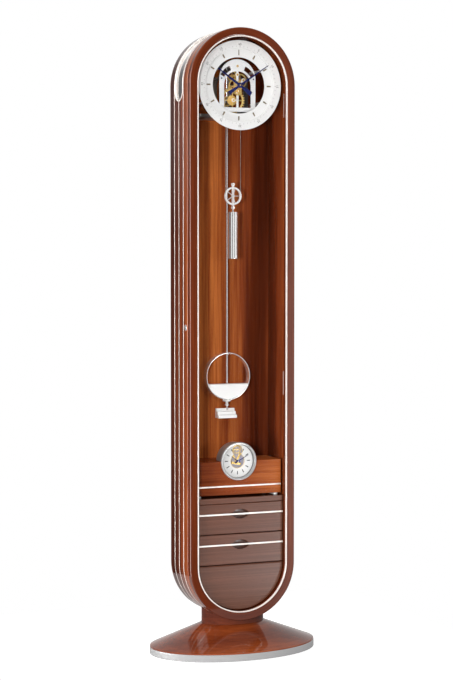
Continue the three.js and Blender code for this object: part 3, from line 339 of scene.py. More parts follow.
def post(radius, low, high, centre=(0, 0), steps=32, edge=0.3 * mm):
    # an upright round bar with eased rims
    start, end = low + edge, high - edge
    ring = [[0, low], [radius - edge, low], [radius, start], [radius, end], [radius - edge, high], [0, high]]
    return spun(ring, centre, steps)


# tools that make materials
class Wire:
    # a socket that takes part in plain arithmetic
    def __init__(self, paint, socket):
        self.paint, self.socket = paint, socket

    def sum(self, operation, *values):
        return self.paint.add("ShaderNodeMath", {"operation": operation}, *values)

    def __add__(self, other):
        return self.sum("ADD", self, other)

    __radd__ = __add__

    def __sub__(self, other):
        return self.sum("SUBTRACT", self, other)

    def __rsub__(self, other):
        return self.sum("SUBTRACT", other, self)

    def __mul__(self, other):
        return self.sum("MULTIPLY", self, other)

    __rmul__ = __mul__

    def __truediv__(self, other):
        return self.sum("DIVIDE", self, other)

    def clip(self):
        # kept between 0 and 1
        return self.paint.add("ShaderNodeClamp", {}, self)


class Paint:
    # the nodes of a material or of the world, and the main shader that they feed
    def __init__(self, name, settings, holder=None):
        self.material = holder or bpy.data.materials.new(name)
        self.material.use_nodes = True
        self.tree = self.material.node_tree
        self.shader = self.tree.nodes["Background" if holder else "Principled BSDF"]
        for socket, value in settings.items():
            self.shader.inputs[socket].default_value = value

    def add(self, kind, settings=None, *values, pick=0, inputs=None):
        # settings first, then values in the order of the sockets, then inputs by index or name
        node = self.tree.nodes.new(kind)
        for key, value in (settings or {}).items():
            if key == "stops":
                while len(node.color_ramp.elements) < len(value):
                    node.color_ramp.elements.new(1)
                for element, (position, colour) in zip(node.color_ramp.elements, value):
                    element.position, element.color = position, (*colour, 1)
            else:
                setattr(node, key, value)
        for key, value in [*enumerate(values), *(inputs or {}).items()]:
            if isinstance(value, Wire):
                self.tree.links.new(value.socket, node.inputs[key])
            elif value is not None:
                node.inputs[key].default_value = value
        return Wire(self, node.outputs[pick])

    def spot(self):
        # the place in the piece's own frame, in metres
        return self.add("ShaderNodeTexCoord", pick=3)

    def flow(self):
        # how far along and how far round the surface
        return self.add("ShaderNodeUVMap", {"uv_map": "flow"})

    def split(self, vector):
        # the three parts of a vector
        node = self.add("ShaderNodeSeparateXYZ", {}, vector)
        return [Wire(self, out) for out in node.socket.node.outputs]

    def pack(self, x, y, z):
        return self.add("ShaderNodeCombineXYZ", {}, x, y, z)

    def stretch(self, vector, scale):
        return self.add("ShaderNodeVectorMath", {"operation": "MULTIPLY"}, vector, scale)

    def noise(self, vector, scale=1, detail=2, rough=0.5):
        # smooth noise, about 0.5 on average
        return self.add("ShaderNodeTexNoise", {}, vector,
                        inputs={"Scale": scale, "Detail": detail, "Roughness": rough})

    def ramp(self, factor, stops):
        # colours between the stops, by position from 0 to 1
        return self.add("ShaderNodeValToRGB", {"stops": stops}, factor)

    def blend(self, share, first, second):
        # the first number where share is 0, the second where it is 1
        return first * (1 - share) + second * share

    def mix(self, factor, first, second):
        # the first colour where the factor is 0, the second where it is 1
        first, second = [(*c, 1) if isinstance(c, tuple) else c for c in (first, second)]
        return self.add("ShaderNodeMix", {"data_type": "RGBA"}, factor, pick=2, inputs={6: first, 7: second})

    def feed(self, **wires):
        # camelCase names of sockets: baseColor feeds Base Color
        for name, wire in wires.items():
            socket = "".join(" " + c if c.isupper() else c for c in name).title()
            self.tree.links.new(wire.socket, self.shader.inputs[socket])
        return self.material


# finishes
def woodLook(name, way, look):
    # streaks are noise drawn out along the grain: wide bands of tone, then fine lines, then dark pores;
    # the tone may also fade from one side of the piece to the other as painted light and shade, and darken
    # below a height and behind the front face as painted shade
    paint = Paint(name, {
        "Roughness": 0.4, "Specular IOR Level": look["under"], "Coat Weight": look["gloss"],
        "Coat Roughness": look["polish"], "Coat IOR": 1.5})
    x, y, z = paint.split(paint.spot())
    along, across, deep = (z, x, y) if way == "up" else (x, z, y)
    fade = ((y if way == "hoop" else x) - look["fadeAt"]) * look["fade"]
    if way == "hoop":
        along, across, deep = paint.split(paint.flow())
    bend = (paint.noise(paint.pack(along * 1.3, across * 5, deep * 5), 1, 2) - 0.5) * look["wander"]
    across = across + bend
    bands = paint.noise(paint.pack(along * look["bandAlong"], across * look["bandAcross"], deep * 8), 1, 3,
                        0.6)
    lines = paint.noise(paint.pack(along * look["lineAlong"], across * look["lineAcross"], deep * 60), 1, 2,
                        0.6)
    pores = paint.noise(paint.pack(along * 70, across * 1400, deep * 300), 1, 1)
    tone = (bands - 0.5) * look["bandDepth"] + (lines - 0.5) * look["lineDepth"] + look["tone"]
    # painted light and shade: the tone rises towards one side of the piece and falls towards the other
    tone = tone + paint.add("ShaderNodeClamp", {}, fade, -look["fadeDown"], look["fadeUp"])
    height, inward = paint.split(paint.spot())[2], paint.split(paint.spot())[1]
    # painted shade: darker below a height
    tone = tone - ((look["footAt"] - height) * 3).clip() * look["footPaintedShade"]
    # painted shade: darker deeper than a depth behind the front, in recesses and between boards
    tone = tone - ((inward - look["pitAt"]) * 500).clip() * look["pitPaintedShade"]
    pore = ((pores - 0.62) * 6).clip() * look["poreDepth"]
    colour = paint.ramp((tone - pore).clip(), look["stops"])
    return paint.feed(baseColor=colour)


woodStops = [(0, (0.04, 0.006, 0.002)), (0.35, (0.125, 0.022, 0.006)), (0.65, (0.27, 0.056, 0.014)),
             (1, (0.6, 0.18, 0.042))]
brownStops = [(0, (0.045, 0.014, 0.006)), (0.35, (0.1, 0.03, 0.013)), (0.65, (0.17, 0.055, 0.026)),
              (1, (0.3, 0.11, 0.055))]
mahogany = {
    "gloss": 1.0, "polish": 0.03, "under": 0.0, "wander": 0.012, "tone": 0.45, "poreDepth": 0.2,
    "bandAlong": 1.6, "bandAcross": 26, "bandDepth": 0.9, "lineAlong": 7, "lineAcross": 320,
    "lineDepth": 0.35,
    "fade": 0, "fadeAt": 0, "fadeUp": 0.3, "fadeDown": 0.3,
    "footAt": 0.4, "footPaintedShade": 0, "pitAt": 0, "pitPaintedShade": 0, "stops": woodStops,
}
# painted light and shade: the case hoop is lighter towards the front and darker towards the back
hoopWood = woodLook("wood_hoop", "hoop",
                    {**mahogany, "tone": 0.42, "fade": -4.5, "fadeAt": 0.0, "fadeUp": 0.4})
# painted shade: the door ring darkens towards its foot
doorWood = woodLook("wood_door", "hoop", {**mahogany, "tone": 0.38, "bandDepth": 0.5, "footPaintedShade": 0.16})
# painted light and shade: the back board is lighter on the left and darker on the right
uprightWood = woodLook("wood_upright", "up", {
    **mahogany, "gloss": 0.15, "tone": 0.58, "bandDepth": 1.5, "bandAcross": 34, "wander": 0.02,
    "bandAlong": 0.8, "fade": -7, "fadeAt": 0.055, "fadeUp": 0.12, "fadeDown": 0.36})
# painted light: the shelf box is lighter towards the right
boxWood = woodLook("wood_box", "level", {
    **mahogany, "gloss": 0.4, "polish": 0.12, "bandAcross": 50, "bandDepth": 0.5, "lineDepth": 0.4,
    "tone": 0.64, "fade": 1.5, "fadeAt": 0.0, "fadeUp": 0.2})
levelLook = {
    **mahogany, "polish": 0.19, "wander": 0.004, "bandAlong": 0.7, "bandAcross": 90, "bandDepth": 0.4,
    "lineAlong": 2, "lineAcross": 500, "lineDepth": 0.6, "tone": 0.35, "stops": brownStops}
levelWood = woodLook("wood_level", "level", levelLook)
baseWood = woodLook("wood_base", "level", {**mahogany, "bandAcross": 22, "tone": 0.45})
# painted shade: the neck is a darker copy of the pedestal wood, for the shade under the case
neckShadedWood = woodLook("wood_neck_painted_shade", "level", {**mahogany, "bandAcross": 22, "tone": 0.24, "gloss": 0.5})


def metalLook(name, colour, metal, rough, vary, grain):
    # fine brushing: noise drawn out along one way lifts and lowers the roughness
    paint = Paint(name, {"Base Color": (*colour, 1), "Metallic": metal})
    brushing = paint.noise(paint.stretch(paint.spot(), grain), 1, 3)
    smudge = paint.noise(paint.spot(), 14, 2)
    rough = rough + (brushing - 0.5) * vary + (smudge - 0.5) * vary * 0.6
    return paint.feed(roughness=rough.clip())


metals = {  # colour, metallic share, roughness, how much that varies, grain across x, y and z
    "polished_steel": ((0.9, 0.89, 0.88), 0.7, 0.12, 0.05, (40, 40, 40)),
    "satin_steel": ((0.86, 0.86, 0.86), 0.45, 0.36, 0.1, (20, 20, 900)),
    "bright_steel": ((0.93, 0.93, 0.92), 0.3, 0.3, 0.05, (30, 30, 30)),
    "trim_steel": ((0.95, 0.87, 0.81), 0.3, 0.35, 0.04, (30, 30, 30)),
    "door_line_steel": ((0.85, 0.77, 0.72), 0.1, 0.4, 0.04, (30, 30, 30)),
    "mirror_steel": ((0.97, 0.96, 0.95), 0.78, 0.07, 0.03, (40, 40, 40)),
    "brass": ((1.0, 0.7, 0.24), 0.4, 0.22, 0.1, (60, 60, 60)),
    "gilt": ((0.2, 0.15, 0.09), 0.5, 0.35, 0.08, (60, 60, 60)),
    "blued_steel": ((0.02, 0.03, 0.16), 0.6, 0.22, 0.05, (50, 50, 50)),
    "plain_steel": ((0.5, 0.5, 0.5), 0.7, 0.35, 0.12, (30, 30, 400)),
    "rim_steel": ((0.48, 0.48, 0.48), 0.5, 0.25, 0.04, (20, 20, 300)),
    # painted shade: the last steel is near black, for the shade between the movement plates
    "painted_shade_steel": ((0.09, 0.08, 0.07), 0.6, 0.4, 0.1, (20, 20, 500)),
}
polished, satin, bright, trim, doorLine, mirrorSteel, brass, gilt, blued, steel, rimSteel, plateShadeSteel = [
    metalLook(name, *values) for name, values in metals.items()]


def plainLook(name, colour, rough, coat=0.0, vary=0.03):
    # paint with a faint cloudy change of tone
    paint = Paint(name, {"Roughness": rough, "Coat Weight": coat, "Coat Roughness": 0.08})
    cloud = paint.noise(paint.spot(), 9, 3)
    return paint.feed(baseColor=paint.pack(*[(cloud - 0.5) * vary + part for part in colour]))


dialWhite = plainLook("dial_white", (0.8, 0.795, 0.785), 0.45, 0.3)
dialDark = plainLook("dial_dark", (0.03, 0.03, 0.04), 0.4, 0.2)
lilac = plainLook("lilac_plate", (0.5, 0.48, 0.56), 0.35, 0.3)
dialGrey = plainLook("dial_grey", (0.13, 0.12, 0.12), 0.5)
rubber = plainLook("rubber", (0.02, 0.02, 0.02), 0.8)
ruby = plainLook("ruby", (0.3, 0.01, 0.03), 0.1, 1.0)


def glassLook(name, veil, tint=0.985):
    # a pane: see-through, with a mirror share of veil times fresnel
    paint = Paint(name, {})
    fresnel = paint.add("ShaderNodeFresnel", {}, 1.45)
    clear = paint.add("ShaderNodeBsdfTransparent", {}, (tint, tint, tint, 1))
    shine = paint.add("ShaderNodeBsdfGlossy", {}, (1, 1, 1, 1), 0.02)
    both = paint.add("ShaderNodeMixShader", {}, (fresnel * veil).clip(), clear, shine)
    out = paint.tree.nodes["Material Output"]
    paint.tree.links.new(both.socket, out.inputs["Surface"])
    paint.tree.nodes.remove(paint.shader)
    return paint.material


clearGlass = glassLook("clear_glass", 0.03)
skyGlass = glassLook("sky_glass", 3.5, 0.9)


def cableLook():
    # twisted strands: slanting stripes of light and dark along the cord
    paint = Paint("steel_cable", {"Metallic": 1.0, "Roughness": 0.35})
    along, turn = paint.split(paint.flow())[:2]
    stripe = paint.add("ShaderNodeMath", {"operation": "SINE"}, along * 2600 + turn * 3)
    return paint.feed(baseColor=paint.mix((stripe * 0.5 + 0.5).clip(), (0.2, 0.2, 0.19), (0.72, 0.71, 0.68)))


cable = cableLook()
print("finishes made")


# pedestal: pad, polished plate, wooden cone and neck
pedestal = {"plateEdge": 2.2, "coneLip": 4.0, "coneWall": 12.0, "neckGap": 0.3, "neckRings": 14}
padHigh = lowHigh("base_pad")[1]
footLow, footHigh = lowHigh("base_plate")
coneLow, coneHigh = lowHigh("base_cone")
neckLow, neckHigh = lowHigh("neck")
footRatio = footHigh[1] / footHigh[0]
padHalf, footHalf, coneHalf, neckHalf = [high[0] for high in (padHigh, footHigh, coneHigh, neckHigh)]
edge = pedestal["plateEdge"] * mm
padLine = [[0, 0], [padHalf - mm, 0], [padHalf, mm], [padHalf, padHigh[2]], [0, padHigh[2]]]
place(spun(padLine, squash=padHigh[1] / padHalf, steps=120), "foot_pad", "case", rubber, "base_pad")
turn = np.linspace(-math.pi / 2, math.pi / 2, 13)
middle, half = (footLow[2] + footHigh[2]) / 2, (footHigh[2] - footLow[2]) / 2
rim = [[0, footLow[2]]]
for a in turn:
    level = middle + (half - edge) * np.sign(a) + edge * math.sin(a)
    rim.append([footHalf - edge + edge * math.cos(a), level])
rim.append([0, footHigh[2]])
place(spun(rim, squash=footRatio, steps=180), "foot_plate", "case", rimSteel, "base_plate")

# the cone falls in a straight line from under the neck to a short upright lip
low, high = coneLow[2], coneHigh[2]
lip = low + pedestal["coneLip"] * mm
slope = np.linspace(0, 1, 24)
coneTop = neckHalf + mm
side = [[coneTop + s * (coneHalf - coneTop), high + s * (lip - high)] for s in slope]
under = high - pedestal["coneWall"] * mm
innerLine = [[coneHalf - 14 * mm, low], [neckHalf, under], [0, under]]
cone = spun([[0, high], *side, [coneHalf, low], *innerLine], squash=footRatio, steps=180)
place(cone, "foot_cone", "case", baseWood, "base_cone")


def saddle(across, gap):
    # the height just under the round case at a distance across: centre - sqrt(radius^2 - across^2)
    return np.minimum(lowerCentre - np.sqrt((caseRadius + gap) ** 2 - across ** 2), neckHigh[2])


def neckForm(rings, gap):
    # an ellipse (a cos, b sin) drawn up from the cone to the saddle, closed by two fans of rings
    angle = np.linspace(0, fullTurn, 121)
    share = np.linspace(0, 1, rings)[:, None]
    x, y = neckHalf * np.cos(angle)[None], neckHigh[1] * np.sin(angle)[None]
    bottom = neckLow[2]
    sides = np.stack(np.broadcast_arrays(x, y, bottom + share * (saddle(x, gap) - bottom)), -1)
    top = np.stack([x * share, y * share, saddle(x * share, gap)], -1)
    foot = np.stack([x * share, y * share, np.full_like(x * share, bottom)], -1)
    return Form().patch(sides).patch(top).patch(foot)


neckPiece = neckForm(pedestal["neckRings"], pedestal["neckGap"] * mm)
place(neckPiece, "foot_neck", "case", neckShadedWood, "neck")
print("pedestal made")


# case: the bent hoop with its inlaid lines, the skylight and the back
case = {
    "edge": 1.2, "grooveGap": 0.2, "slotGap": 0.3, "bezelWidth": 3.5, "bezelDepth": 5.6, "paneDepth": 4.1,
    "inlayWidth": 4.0, "inlayDepth": 1.2, "leafDepth": 1.8, "leafGap": 0.3,
}
shellLow, shellHigh = lowHigh("case_shell")
bezelLow, bezelHigh = lowHigh("skylight_bezel")
paneLow, paneHigh = lowHigh("skylight_pane")
slotHalf = (bezelHigh[1] - bezelLow[1]) / 2
slotMiddle = (bezelHigh[1] + bezelLow[1]) / 2
slotFoot = bezelLow[2]


def slotLine(half, steps=20):
    # the skylight's outline unrolled: length along the arch from the top, and depth; two straight sides, and
    # ends (half cos, half sin)
    reach = math.pi / 2 * caseRadius + upperCentre - (slotFoot + slotHalf)
    side = np.linspace(-reach, reach, 90)
    turn = np.linspace(-math.pi / 2, math.pi / 2, steps)[1:-1]
    right = np.stack([reach + half * np.cos(turn), half * np.sin(turn)], 1)
    left = np.stack([-reach - half * np.cos(turn), -half * np.sin(turn)], 1)
    front, back = np.stack([side, np.full(90, -half)], 1), np.stack([side[::-1], np.full(90, half)], 1)
    return np.concatenate([front, right, back, left])


def onArch(line, radius):
    # wraps unrolled points round the arch: x = r sin(s / R), z = r cos(s / R); past a quarter turn they run
    # straight down
    s, y = line[..., 0], line[..., 1]
    angle = np.clip(s / caseRadius, -math.pi / 2, math.pi / 2)
    down = np.abs(s) - np.abs(angle) * caseRadius
    return np.stack([radius * np.sin(angle), slotMiddle + y, upperCentre + radius * np.cos(angle) - down], -1)


def slotBand(profile):
    # a profile of half width and radius: each of its points draws the skylight's outline at that width,
    # wrapped on the arch at that radius
    rows = [onArch(loop(slotLine(half)), radius) for half, radius in profile]
    return Form().patch(np.stack(rows + rows[:1], 1))


def prism(outline, along, low, high):
    # a straight-sided tool: outline in the two other axes, drawn out along one
    outline = np.array(outline, float)
    ends = [np.insert(outline, along, value, axis=1) for value in (low, high)]
    form = Form().patch(np.stack([loop(ends[0]), loop(ends[1])]))
    return form.lid(ends[0]).lid(ends[1])


def box(low, high):
    # a sharp-edged tool between two far corners
    return prism([low[:2], [high[0], low[1]], high[:2], [low[0], high[1]]], 2, low[2], high[2])


def carve(source, *tools):
    # takes the tools out of the source by Boolean and returns a plain mesh
    objects = []
    for part in (source, *tools):
        mesh = part.mesh("part") if isinstance(part, Form) else part
        objects.append(bpy.data.objects.new("part", tidyMesh(mesh)))
        bpy.context.scene.collection.objects.link(objects[-1])
    for tool in objects[1:]:
        step = objects[0].modifiers.new("cut", "BOOLEAN")
        step.object, step.operation, step.solver = tool, "DIFFERENCE", "EXACT"
    mesh = bpy.data.meshes.new_from_object(objects[0].evaluated_get(bpy.context.evaluated_depsgraph_get()))
    for part in objects:
        bpy.data.objects.remove(part)
    return mesh


def lineUp(form, order, shift=(0, 0, 0)):
    # the same shape with its axes exchanged, then moved
    form.points = [points[:, list(order)] + np.array(shift) for points in form.points]
    return form


shellProfile = hoopProfile(wallRadius, caseRadius, shellLow[1], shellHigh[1], case["edge"] * mm)


def grooved(profile, middles, half, depth):
    # cuts square grooves into the outside of a hoop's profile, which runs from front to back there
    out = [list(p) for p in profile]
    outer = max(p[0] for p in out)
    at = max(i for i, p in enumerate(out) if abs(p[0] - outer) < 1e-7 and p[1] < middles[0])
    extra = []
    for middle in middles:
        front, back = middle - half, middle + half
        extra += [[outer, front], [outer - depth, front], [outer - depth, back], [outer, back]]
    return out[:at + 1] + extra + out[at + 1:]


frontInlay, rearInlay = [np.mean(lowHigh(n), axis=0)[1] for n in ("inlay_front", "inlay_rear")]
grooveHalf = (case["inlayWidth"] / 2 + case["grooveGap"]) * mm
grooveDepth = (case["inlayDepth"] + case["grooveGap"]) * mm
shellForm = hoop(grooved(shellProfile, [frontInlay, rearInlay], grooveHalf, grooveDepth))
lockLow, lockHigh = lowHigh("lock_barrel")
lockY, lockZ = (lockLow[1] + lockHigh[1]) / 2 + 1.4 * mm, (lockLow[2] + lockHigh[2]) / 2
leafGap = case["leafGap"] * mm
hingeTools = []
for node in ("hinge_case_upper", "hinge_case_lower"):
    low, high = lowHigh(node)
    near = [wallRadius - 3 * mm, shellLow[1] - mm, low[2] - leafGap]
    far = [caseRadius + mm, shellLow[1] + case["leafDepth"] * mm, high[2] + leafGap]
    hingeTools.append(box(near, far))

# the skylight's opening goes right through both sides, with a round lower end
openHalf = slotHalf + case["slotGap"] * mm
above = caseHigh[2] + 50 * mm
slotArc = arc(openHalf, math.pi, fullTurn, 24, slotMiddle, slotFoot + slotHalf)
slotSides = [[slotMiddle + openHalf, above], [slotMiddle - openHalf, above]]
slotTool = prism(np.concatenate([slotArc, slotSides]), 0, -0.25, 0.25)
place(carve(shellForm, slotTool, *hingeTools), "case_hoop", "case", hoopWood, "case_shell")

for side in ("front", "rear", "middle"):
    low, high = lowHigh("inlay_" + side)
    inside, outside = caseRadius - case["inlayDepth"] * mm, caseRadius + 0.05 * mm
    profile = hoopProfile(inside, outside, low[1], high[1], 0.25 * mm, 2)
    line = hoop(profile, top=high[2]) if side == "middle" else hoop(profile)
    place(line, "inlay_line_" + side, "case", trim, "inlay_" + side)

inner, outer = bezelHigh[0] - case["bezelDepth"] * mm, bezelHigh[0]
narrow = slotHalf - case["bezelWidth"] * mm
frameSection = rounded([[narrow, inner], [slotHalf, inner], [slotHalf, outer], [narrow, outer]], 0.6 * mm, 3)
place(slotBand(frameSection), "skylight_frame", "case", trim, "skylight_bezel")
inner, outer = paneHigh[0] - case["paneDepth"] * mm, paneHigh[0]
paneHalf = (paneHigh[1] - paneLow[1]) / 2
place(slotBand([[1e-5, inner], [paneHalf, inner], [paneHalf, outer], [1e-5, outer]]),
      "skylight_glass", "case", skyGlass, "skylight_pane")

backLow, backHigh = lowHigh("back_panel")
topHalf = arc(backHigh[0], 0, math.pi, 64, 0, upperCentre)
bottomHalf = arc(backHigh[0], math.pi, fullTurn, 64, 0, lowerCentre)
backBoard = flatPlate([np.concatenate([topHalf, bottomHalf])], backLow[1], backHigh[1], 0.5 * mm)
place(backBoard, "back_board", "case", uprightWood, "back_panel")
print("case made")


# door: ring, bright inner line, glass, hinges and lock
door = {"edge": 2.6, "trimEdge": 1.4, "sideGap": 2.6, "rebate": 4.0, "leafInset": 8.0}
hinges = {"knuckle": 3.6, "sheet": 1.5, "pin": 1.4, "fold": 12.0}
trimLow, trimHigh = lowHigh("door_trim")
glassLow, glassHigh = lowHigh("door_pane")
openRadius = lowHigh("shelf_box")[1][0] + door["sideGap"] * mm
rebate = openRadius + door["rebate"] * mm
frameFront, frameBack = doorLow[1], doorHigh[1]
glassSeat = glassHigh[1] + 0.3 * mm
outerLine = [[rebate, frameFront], [caseRadius, frameFront], [caseRadius, frameBack], [openRadius, frameBack]]
rebateLine = [[openRadius, glassSeat], [rebate, glassSeat]]
frameLine = np.concatenate([rounded(outerLine, door["edge"] * mm, 4), rebateLine])
leafTools = []
for node in ("hinge_door_upper", "hinge_door_lower"):
    low, high = lowHigh(node)
    near = [openRadius + door["leafInset"] * mm, frameBack - case["leafDepth"] * mm, low[2] - leafGap]
    leafTools.append(box(near, [caseRadius + mm, frameBack + mm, high[2] + leafGap]))
strikeLow, strikeHigh = lowHigh("lock_strike")
leafTools.append(box(strikeLow - leafGap, [strikeHigh[0] + leafGap, frameBack + mm, strikeHigh[2] + leafGap]))
place(carve(hoop(frameLine), *leafTools), "door_hoop", "door", doorWood, "door_frame")
place(hoop(hoopProfile(openRadius, trimHigh[0], trimLow[1], trimHigh[1], door["trimEdge"] * mm, 4)),
      "door_trim_line", "door", doorLine, "door_trim")
paneFoot = [[-glassHigh[0], glassLow[2]], [glassHigh[0], glassLow[2]]]
paneOutline = np.concatenate([arc(glassHigh[0], 0, math.pi, 96, 0, upperCentre), paneFoot])
pane = flatPlate([paneOutline], glassLow[1], glassHigh[1], 0.3 * mm)
place(pane, "door_glass", "door", clearGlass, "door_pane")


def hinge(level, caseNode, doorNode):
    # the case leaf folds round the wall and carries the pin and outer knuckles, the door leaf the middle one
    low, high = lowHigh(caseNode)
    knuckle, gauge, pin, fold = [hinges[size] * mm for size in ("knuckle", "sheet", "pin", "fold")]
    third = (high[2] - low[2]) / 3
    axisX, axisY = high[0] - knuckle, low[1] + knuckle
    sheet, wall = shellLow[1], low[0]
    parts = [
        block([wall, sheet, low[2]], [caseRadius - mm, sheet + gauge, high[2]], 0.2 * mm),
        block([wall, sheet, low[2]], [wall + gauge, sheet + fold, high[2]], 0.2 * mm),
        post(pin, low[2], high[2], (axisX, axisY), 20)]
    for base, top in ((low[2], low[2] + third), (high[2] - third, high[2])):
        parts.append(post(knuckle, base, top, (axisX, axisY), 28))
        parts.append(block([caseRadius - 2 * mm, sheet, base], [axisX, sheet + gauge, top], 0.2 * mm))
    place(joined(*parts), "hinge_fixed_" + level, "case", trim, caseNode)
    leafLow = lowHigh(doorNode)[0]
    gap = third + 0.3 * mm
    parts = [
        block([leafLow[0], frameBack - gauge, low[2]], [caseRadius - mm, frameBack, high[2]], 0.2 * mm),
        block([caseRadius - 2 * mm, frameBack - gauge, low[2] + gap], [axisX, frameBack, high[2] - gap],
              0.2 * mm),
        post(knuckle, low[2] + gap, high[2] - gap, (axisX, axisY), 28)]
    place(joined(*parts), "hinge_swinging_" + level, "door", trim, doorNode)


hinge("upper", "hinge_case_upper", "hinge_door_upper")
hinge("lower", "hinge_case_lower", "hinge_door_lower")

lock = {"rim": 9.2, "plug": 7.7, "stem": 5.0, "armThick": 2.5, "armHalf": 2.0}


def sidePost(radius, low, high, steps, edge=0.3):
    # a round bar lying from side to side at the lock, its radius and edge in millimetres
    return lineUp(post(radius * mm, low, high, (0, 0), steps, edge * mm), (2, 0, 1), (0, lockY, lockZ))


armHalf = lock["armHalf"] * mm
armLow = [lockHigh[0] - lock["armThick"] * mm, lockLow[1], lockZ - armHalf]
barrel = [
    sidePost(lock["rim"], lockLow[0], -caseRadius - 0.3 * mm, 48, 0.5),
    sidePost(lock["plug"], -caseRadius - mm, -wallRadius + mm, 40),
    sidePost(lock["stem"], -wallRadius, lockHigh[0], 24),
    block(armLow, [lockHigh[0], lockY, lockZ + armHalf], 0.2 * mm)]
place(joined(*barrel), "lock_plug", "lock", polished, "lock_barrel")
print("door made")


# dial and hands
dial = {
    "band": 24.7, "width": 53.0, "collar": 2.5, "lap": 11.0, "sheet": 2.0, "edge": 0.5, "postRadius": 4.0,
    "postAngle": 30, "batonReach": 104.0, "batonLength": 13.0, "batonWidth": 4.8, "topLength": 17.0,
    "topWidth": 3.2, "numberReach": 129.0, "numberHeight": 7.5, "tickReach": 122.4, "tickLength": 3.8,
    "tickWide": 1.2, "tickThin": 0.68,
}
ringLow, ringHigh = lowHigh("minute_ring")
hourLow, hourHigh = lowHigh("hour_ring")
dialRadius = ringHigh[0]
centre = (0, dialCentre)
stepRadius, holeRadius = dialRadius - dial["band"] * mm, dialRadius - dial["width"] * mm
postReach = (stepRadius + holeRadius) / 2
face, deep = ringLow[1] + dial["sheet"] * mm, hourLow[1]
collarRadius = stepRadius + dial["collar"] * mm
outerFace = rounded([
    [stepRadius, ringLow[1]], [dialRadius, ringLow[1]], [dialRadius, face], [collarRadius, face],
    [collarRadius, ringHigh[1]], [stepRadius, ringHigh[1]]], dial["edge"] * mm, 2)
place(turned(loop(outerFace), centre, 160), "dial_outer", "case", dialWhite, "minute_ring")
lapRadius, innerBack = stepRadius + dial["lap"] * mm, deep + dial["sheet"] * mm
parts = [collar(holeRadius, lapRadius, deep, innerBack, dial["edge"] * mm, centre, 160)]
for angle in (dial["postAngle"], 180 - dial["postAngle"], 180 + dial["postAngle"], -dial["postAngle"]):
    spot = [math.cos(math.radians(angle)) * postReach, dialCentre + math.sin(math.radians(angle)) * postReach]
    parts.append(rod(dial["postRadius"] * mm, deep + mm, hourHigh[1], spot, 28))
place(joined(*parts), "dial_inner", "case", dialWhite, "hour_ring")


def textMesh(words, height, thick, spot, level, angle=0):
    # flat lettering centred on its spot and turned with it about the dial's centre
    curve = bpy.data.curves.new("text", "FONT")
    curve.body, curve.size = words, height * 1.42
    curve.align_x, curve.align_y = "CENTER", "CENTER"
    curve.extrude, curve.resolution_u = thick / 2, 3
    return turnedMesh(bakeCurve(curve), angle, spot, level)


def around(angle, reach, middle=centre):
    # the point at a distance from the middle, angles running clockwise from the top
    return (middle[0] + reach * math.sin(angle), middle[1] + reach * math.cos(angle))


batons, ticks, numbers = [], [], []
for hour in range(12):
    angle = hour * fullTurn / 12
    long = hour == 0
    half = (dial["topLength"] if long else dial["batonLength"]) / 2 * mm
    wide = (dial["topWidth"] if long else dial["batonWidth"]) / 2 * mm
    outline = [[-wide, -half], [wide, -half], [wide * 0.75, half], [-wide * 0.75, half]]
    spot = around(angle, dial["batonReach"] * mm)
    batons.append(flatPlate([outline], deep - 0.9 * mm, deep + 0.1 * mm, 0.3 * mm, 2, angle, spot))
    spot = around(angle, dial["numberReach"] * mm)
    words = str(hour * 5 or 60)
    numbers.append(textMesh(words, dial["numberHeight"] * mm, 0.14 * mm, spot, ringLow[1], angle))
for minute in range(60):
    angle = minute * fullTurn / 60
    half, wide = dial["tickLength"] / 2 * mm, dial["tickThin" if minute % 5 else "tickWide"] / 2 * mm
    outline = [[-wide, -half], [wide, -half], [wide, half], [-wide, half]]
    spot = around(angle, dial["tickReach"] * mm)
    front, back = ringLow[1] - 0.07 * mm, ringLow[1] + 0.07 * mm
    ticks.append(flatPlate([outline], front, back, 0.02 * mm, 0, angle, spot))
place(joined(*batons), "dial_batons", "case", gilt)
place(joined(*ticks), "dial_minutes", "case", dialGrey)
place(joined(*numbers), "dial_numbers", "case", dialGrey)

# reach and tail as shares of the dial's radius, boss width and bore in millimetres, angle in degrees
hands = {"minute": (0.825, 0.322, 7, 1.9, 56), "hour": (0.643, 0.336, 9, 4.1, 304.7)}


def handLine(length, tail, width):
    # the right side of a slim tapered blade, a round boss (hub sin, hub cos) and a wide counterweight, then
    # the same mirrored
    hub = width * 0.95
    turn = np.linspace(0.45, math.pi - 0.45, 9)
    right = [[width * 0.14, length], [width * 0.46, hub * 1.15]]
    boss = [[hub * math.sin(a), hub * math.cos(a)] for a in turn]
    foot = [[width * 0.45, -hub * 1.2], [width * 0.85, -tail + width * 0.4], [width * 0.6, -tail]]
    side = np.array(right + boss + foot)
    return np.concatenate([side, side[::-1] * [-1, 1]])


def hand(node, name, body, length, tail, width, angle, bore, middle=centre, edge=0.45):
    # a blued hand as thick as its node, turned clockwise to an angle in degrees
    low, high = lowHigh(node)
    outline = handLine(length, tail, width)
    plate = flatPlate([outline, circle(bore, 32)], low[1], high[1], edge * mm, 2, math.radians(angle), middle)
    return place(plate, name, body, blued, node, sharp=50)


for which, name, body in (("minute", "long_hand", "minute_arbor"), ("hour", "short_hand", "hour_pipe")):
    length, tail, width, bore, angle = hands[which]
    hand(which + "_hand", name, body, dialRadius * length, dialRadius * tail, width * mm, angle, bore * mm)
print("dial and hands made")


# movement: two plates and the train between them
movement = {
    "plateHalf": 62.0, "plateRise": 84.0, "plate": 3.0, "window": 46.0, "eyes": (30, 114), "eyeSpan": 36,
    "pillar": 4.0, "pillarAcross": 55.0, "toothEdge": 0.06, "chaton": 4.0, "screw": 2.4, "arbor": 1.6,
    "pivot": 1.1, "greatAcross": 14.0, "cockDrop": 12.0, "anchorBehind": 32.0,
}

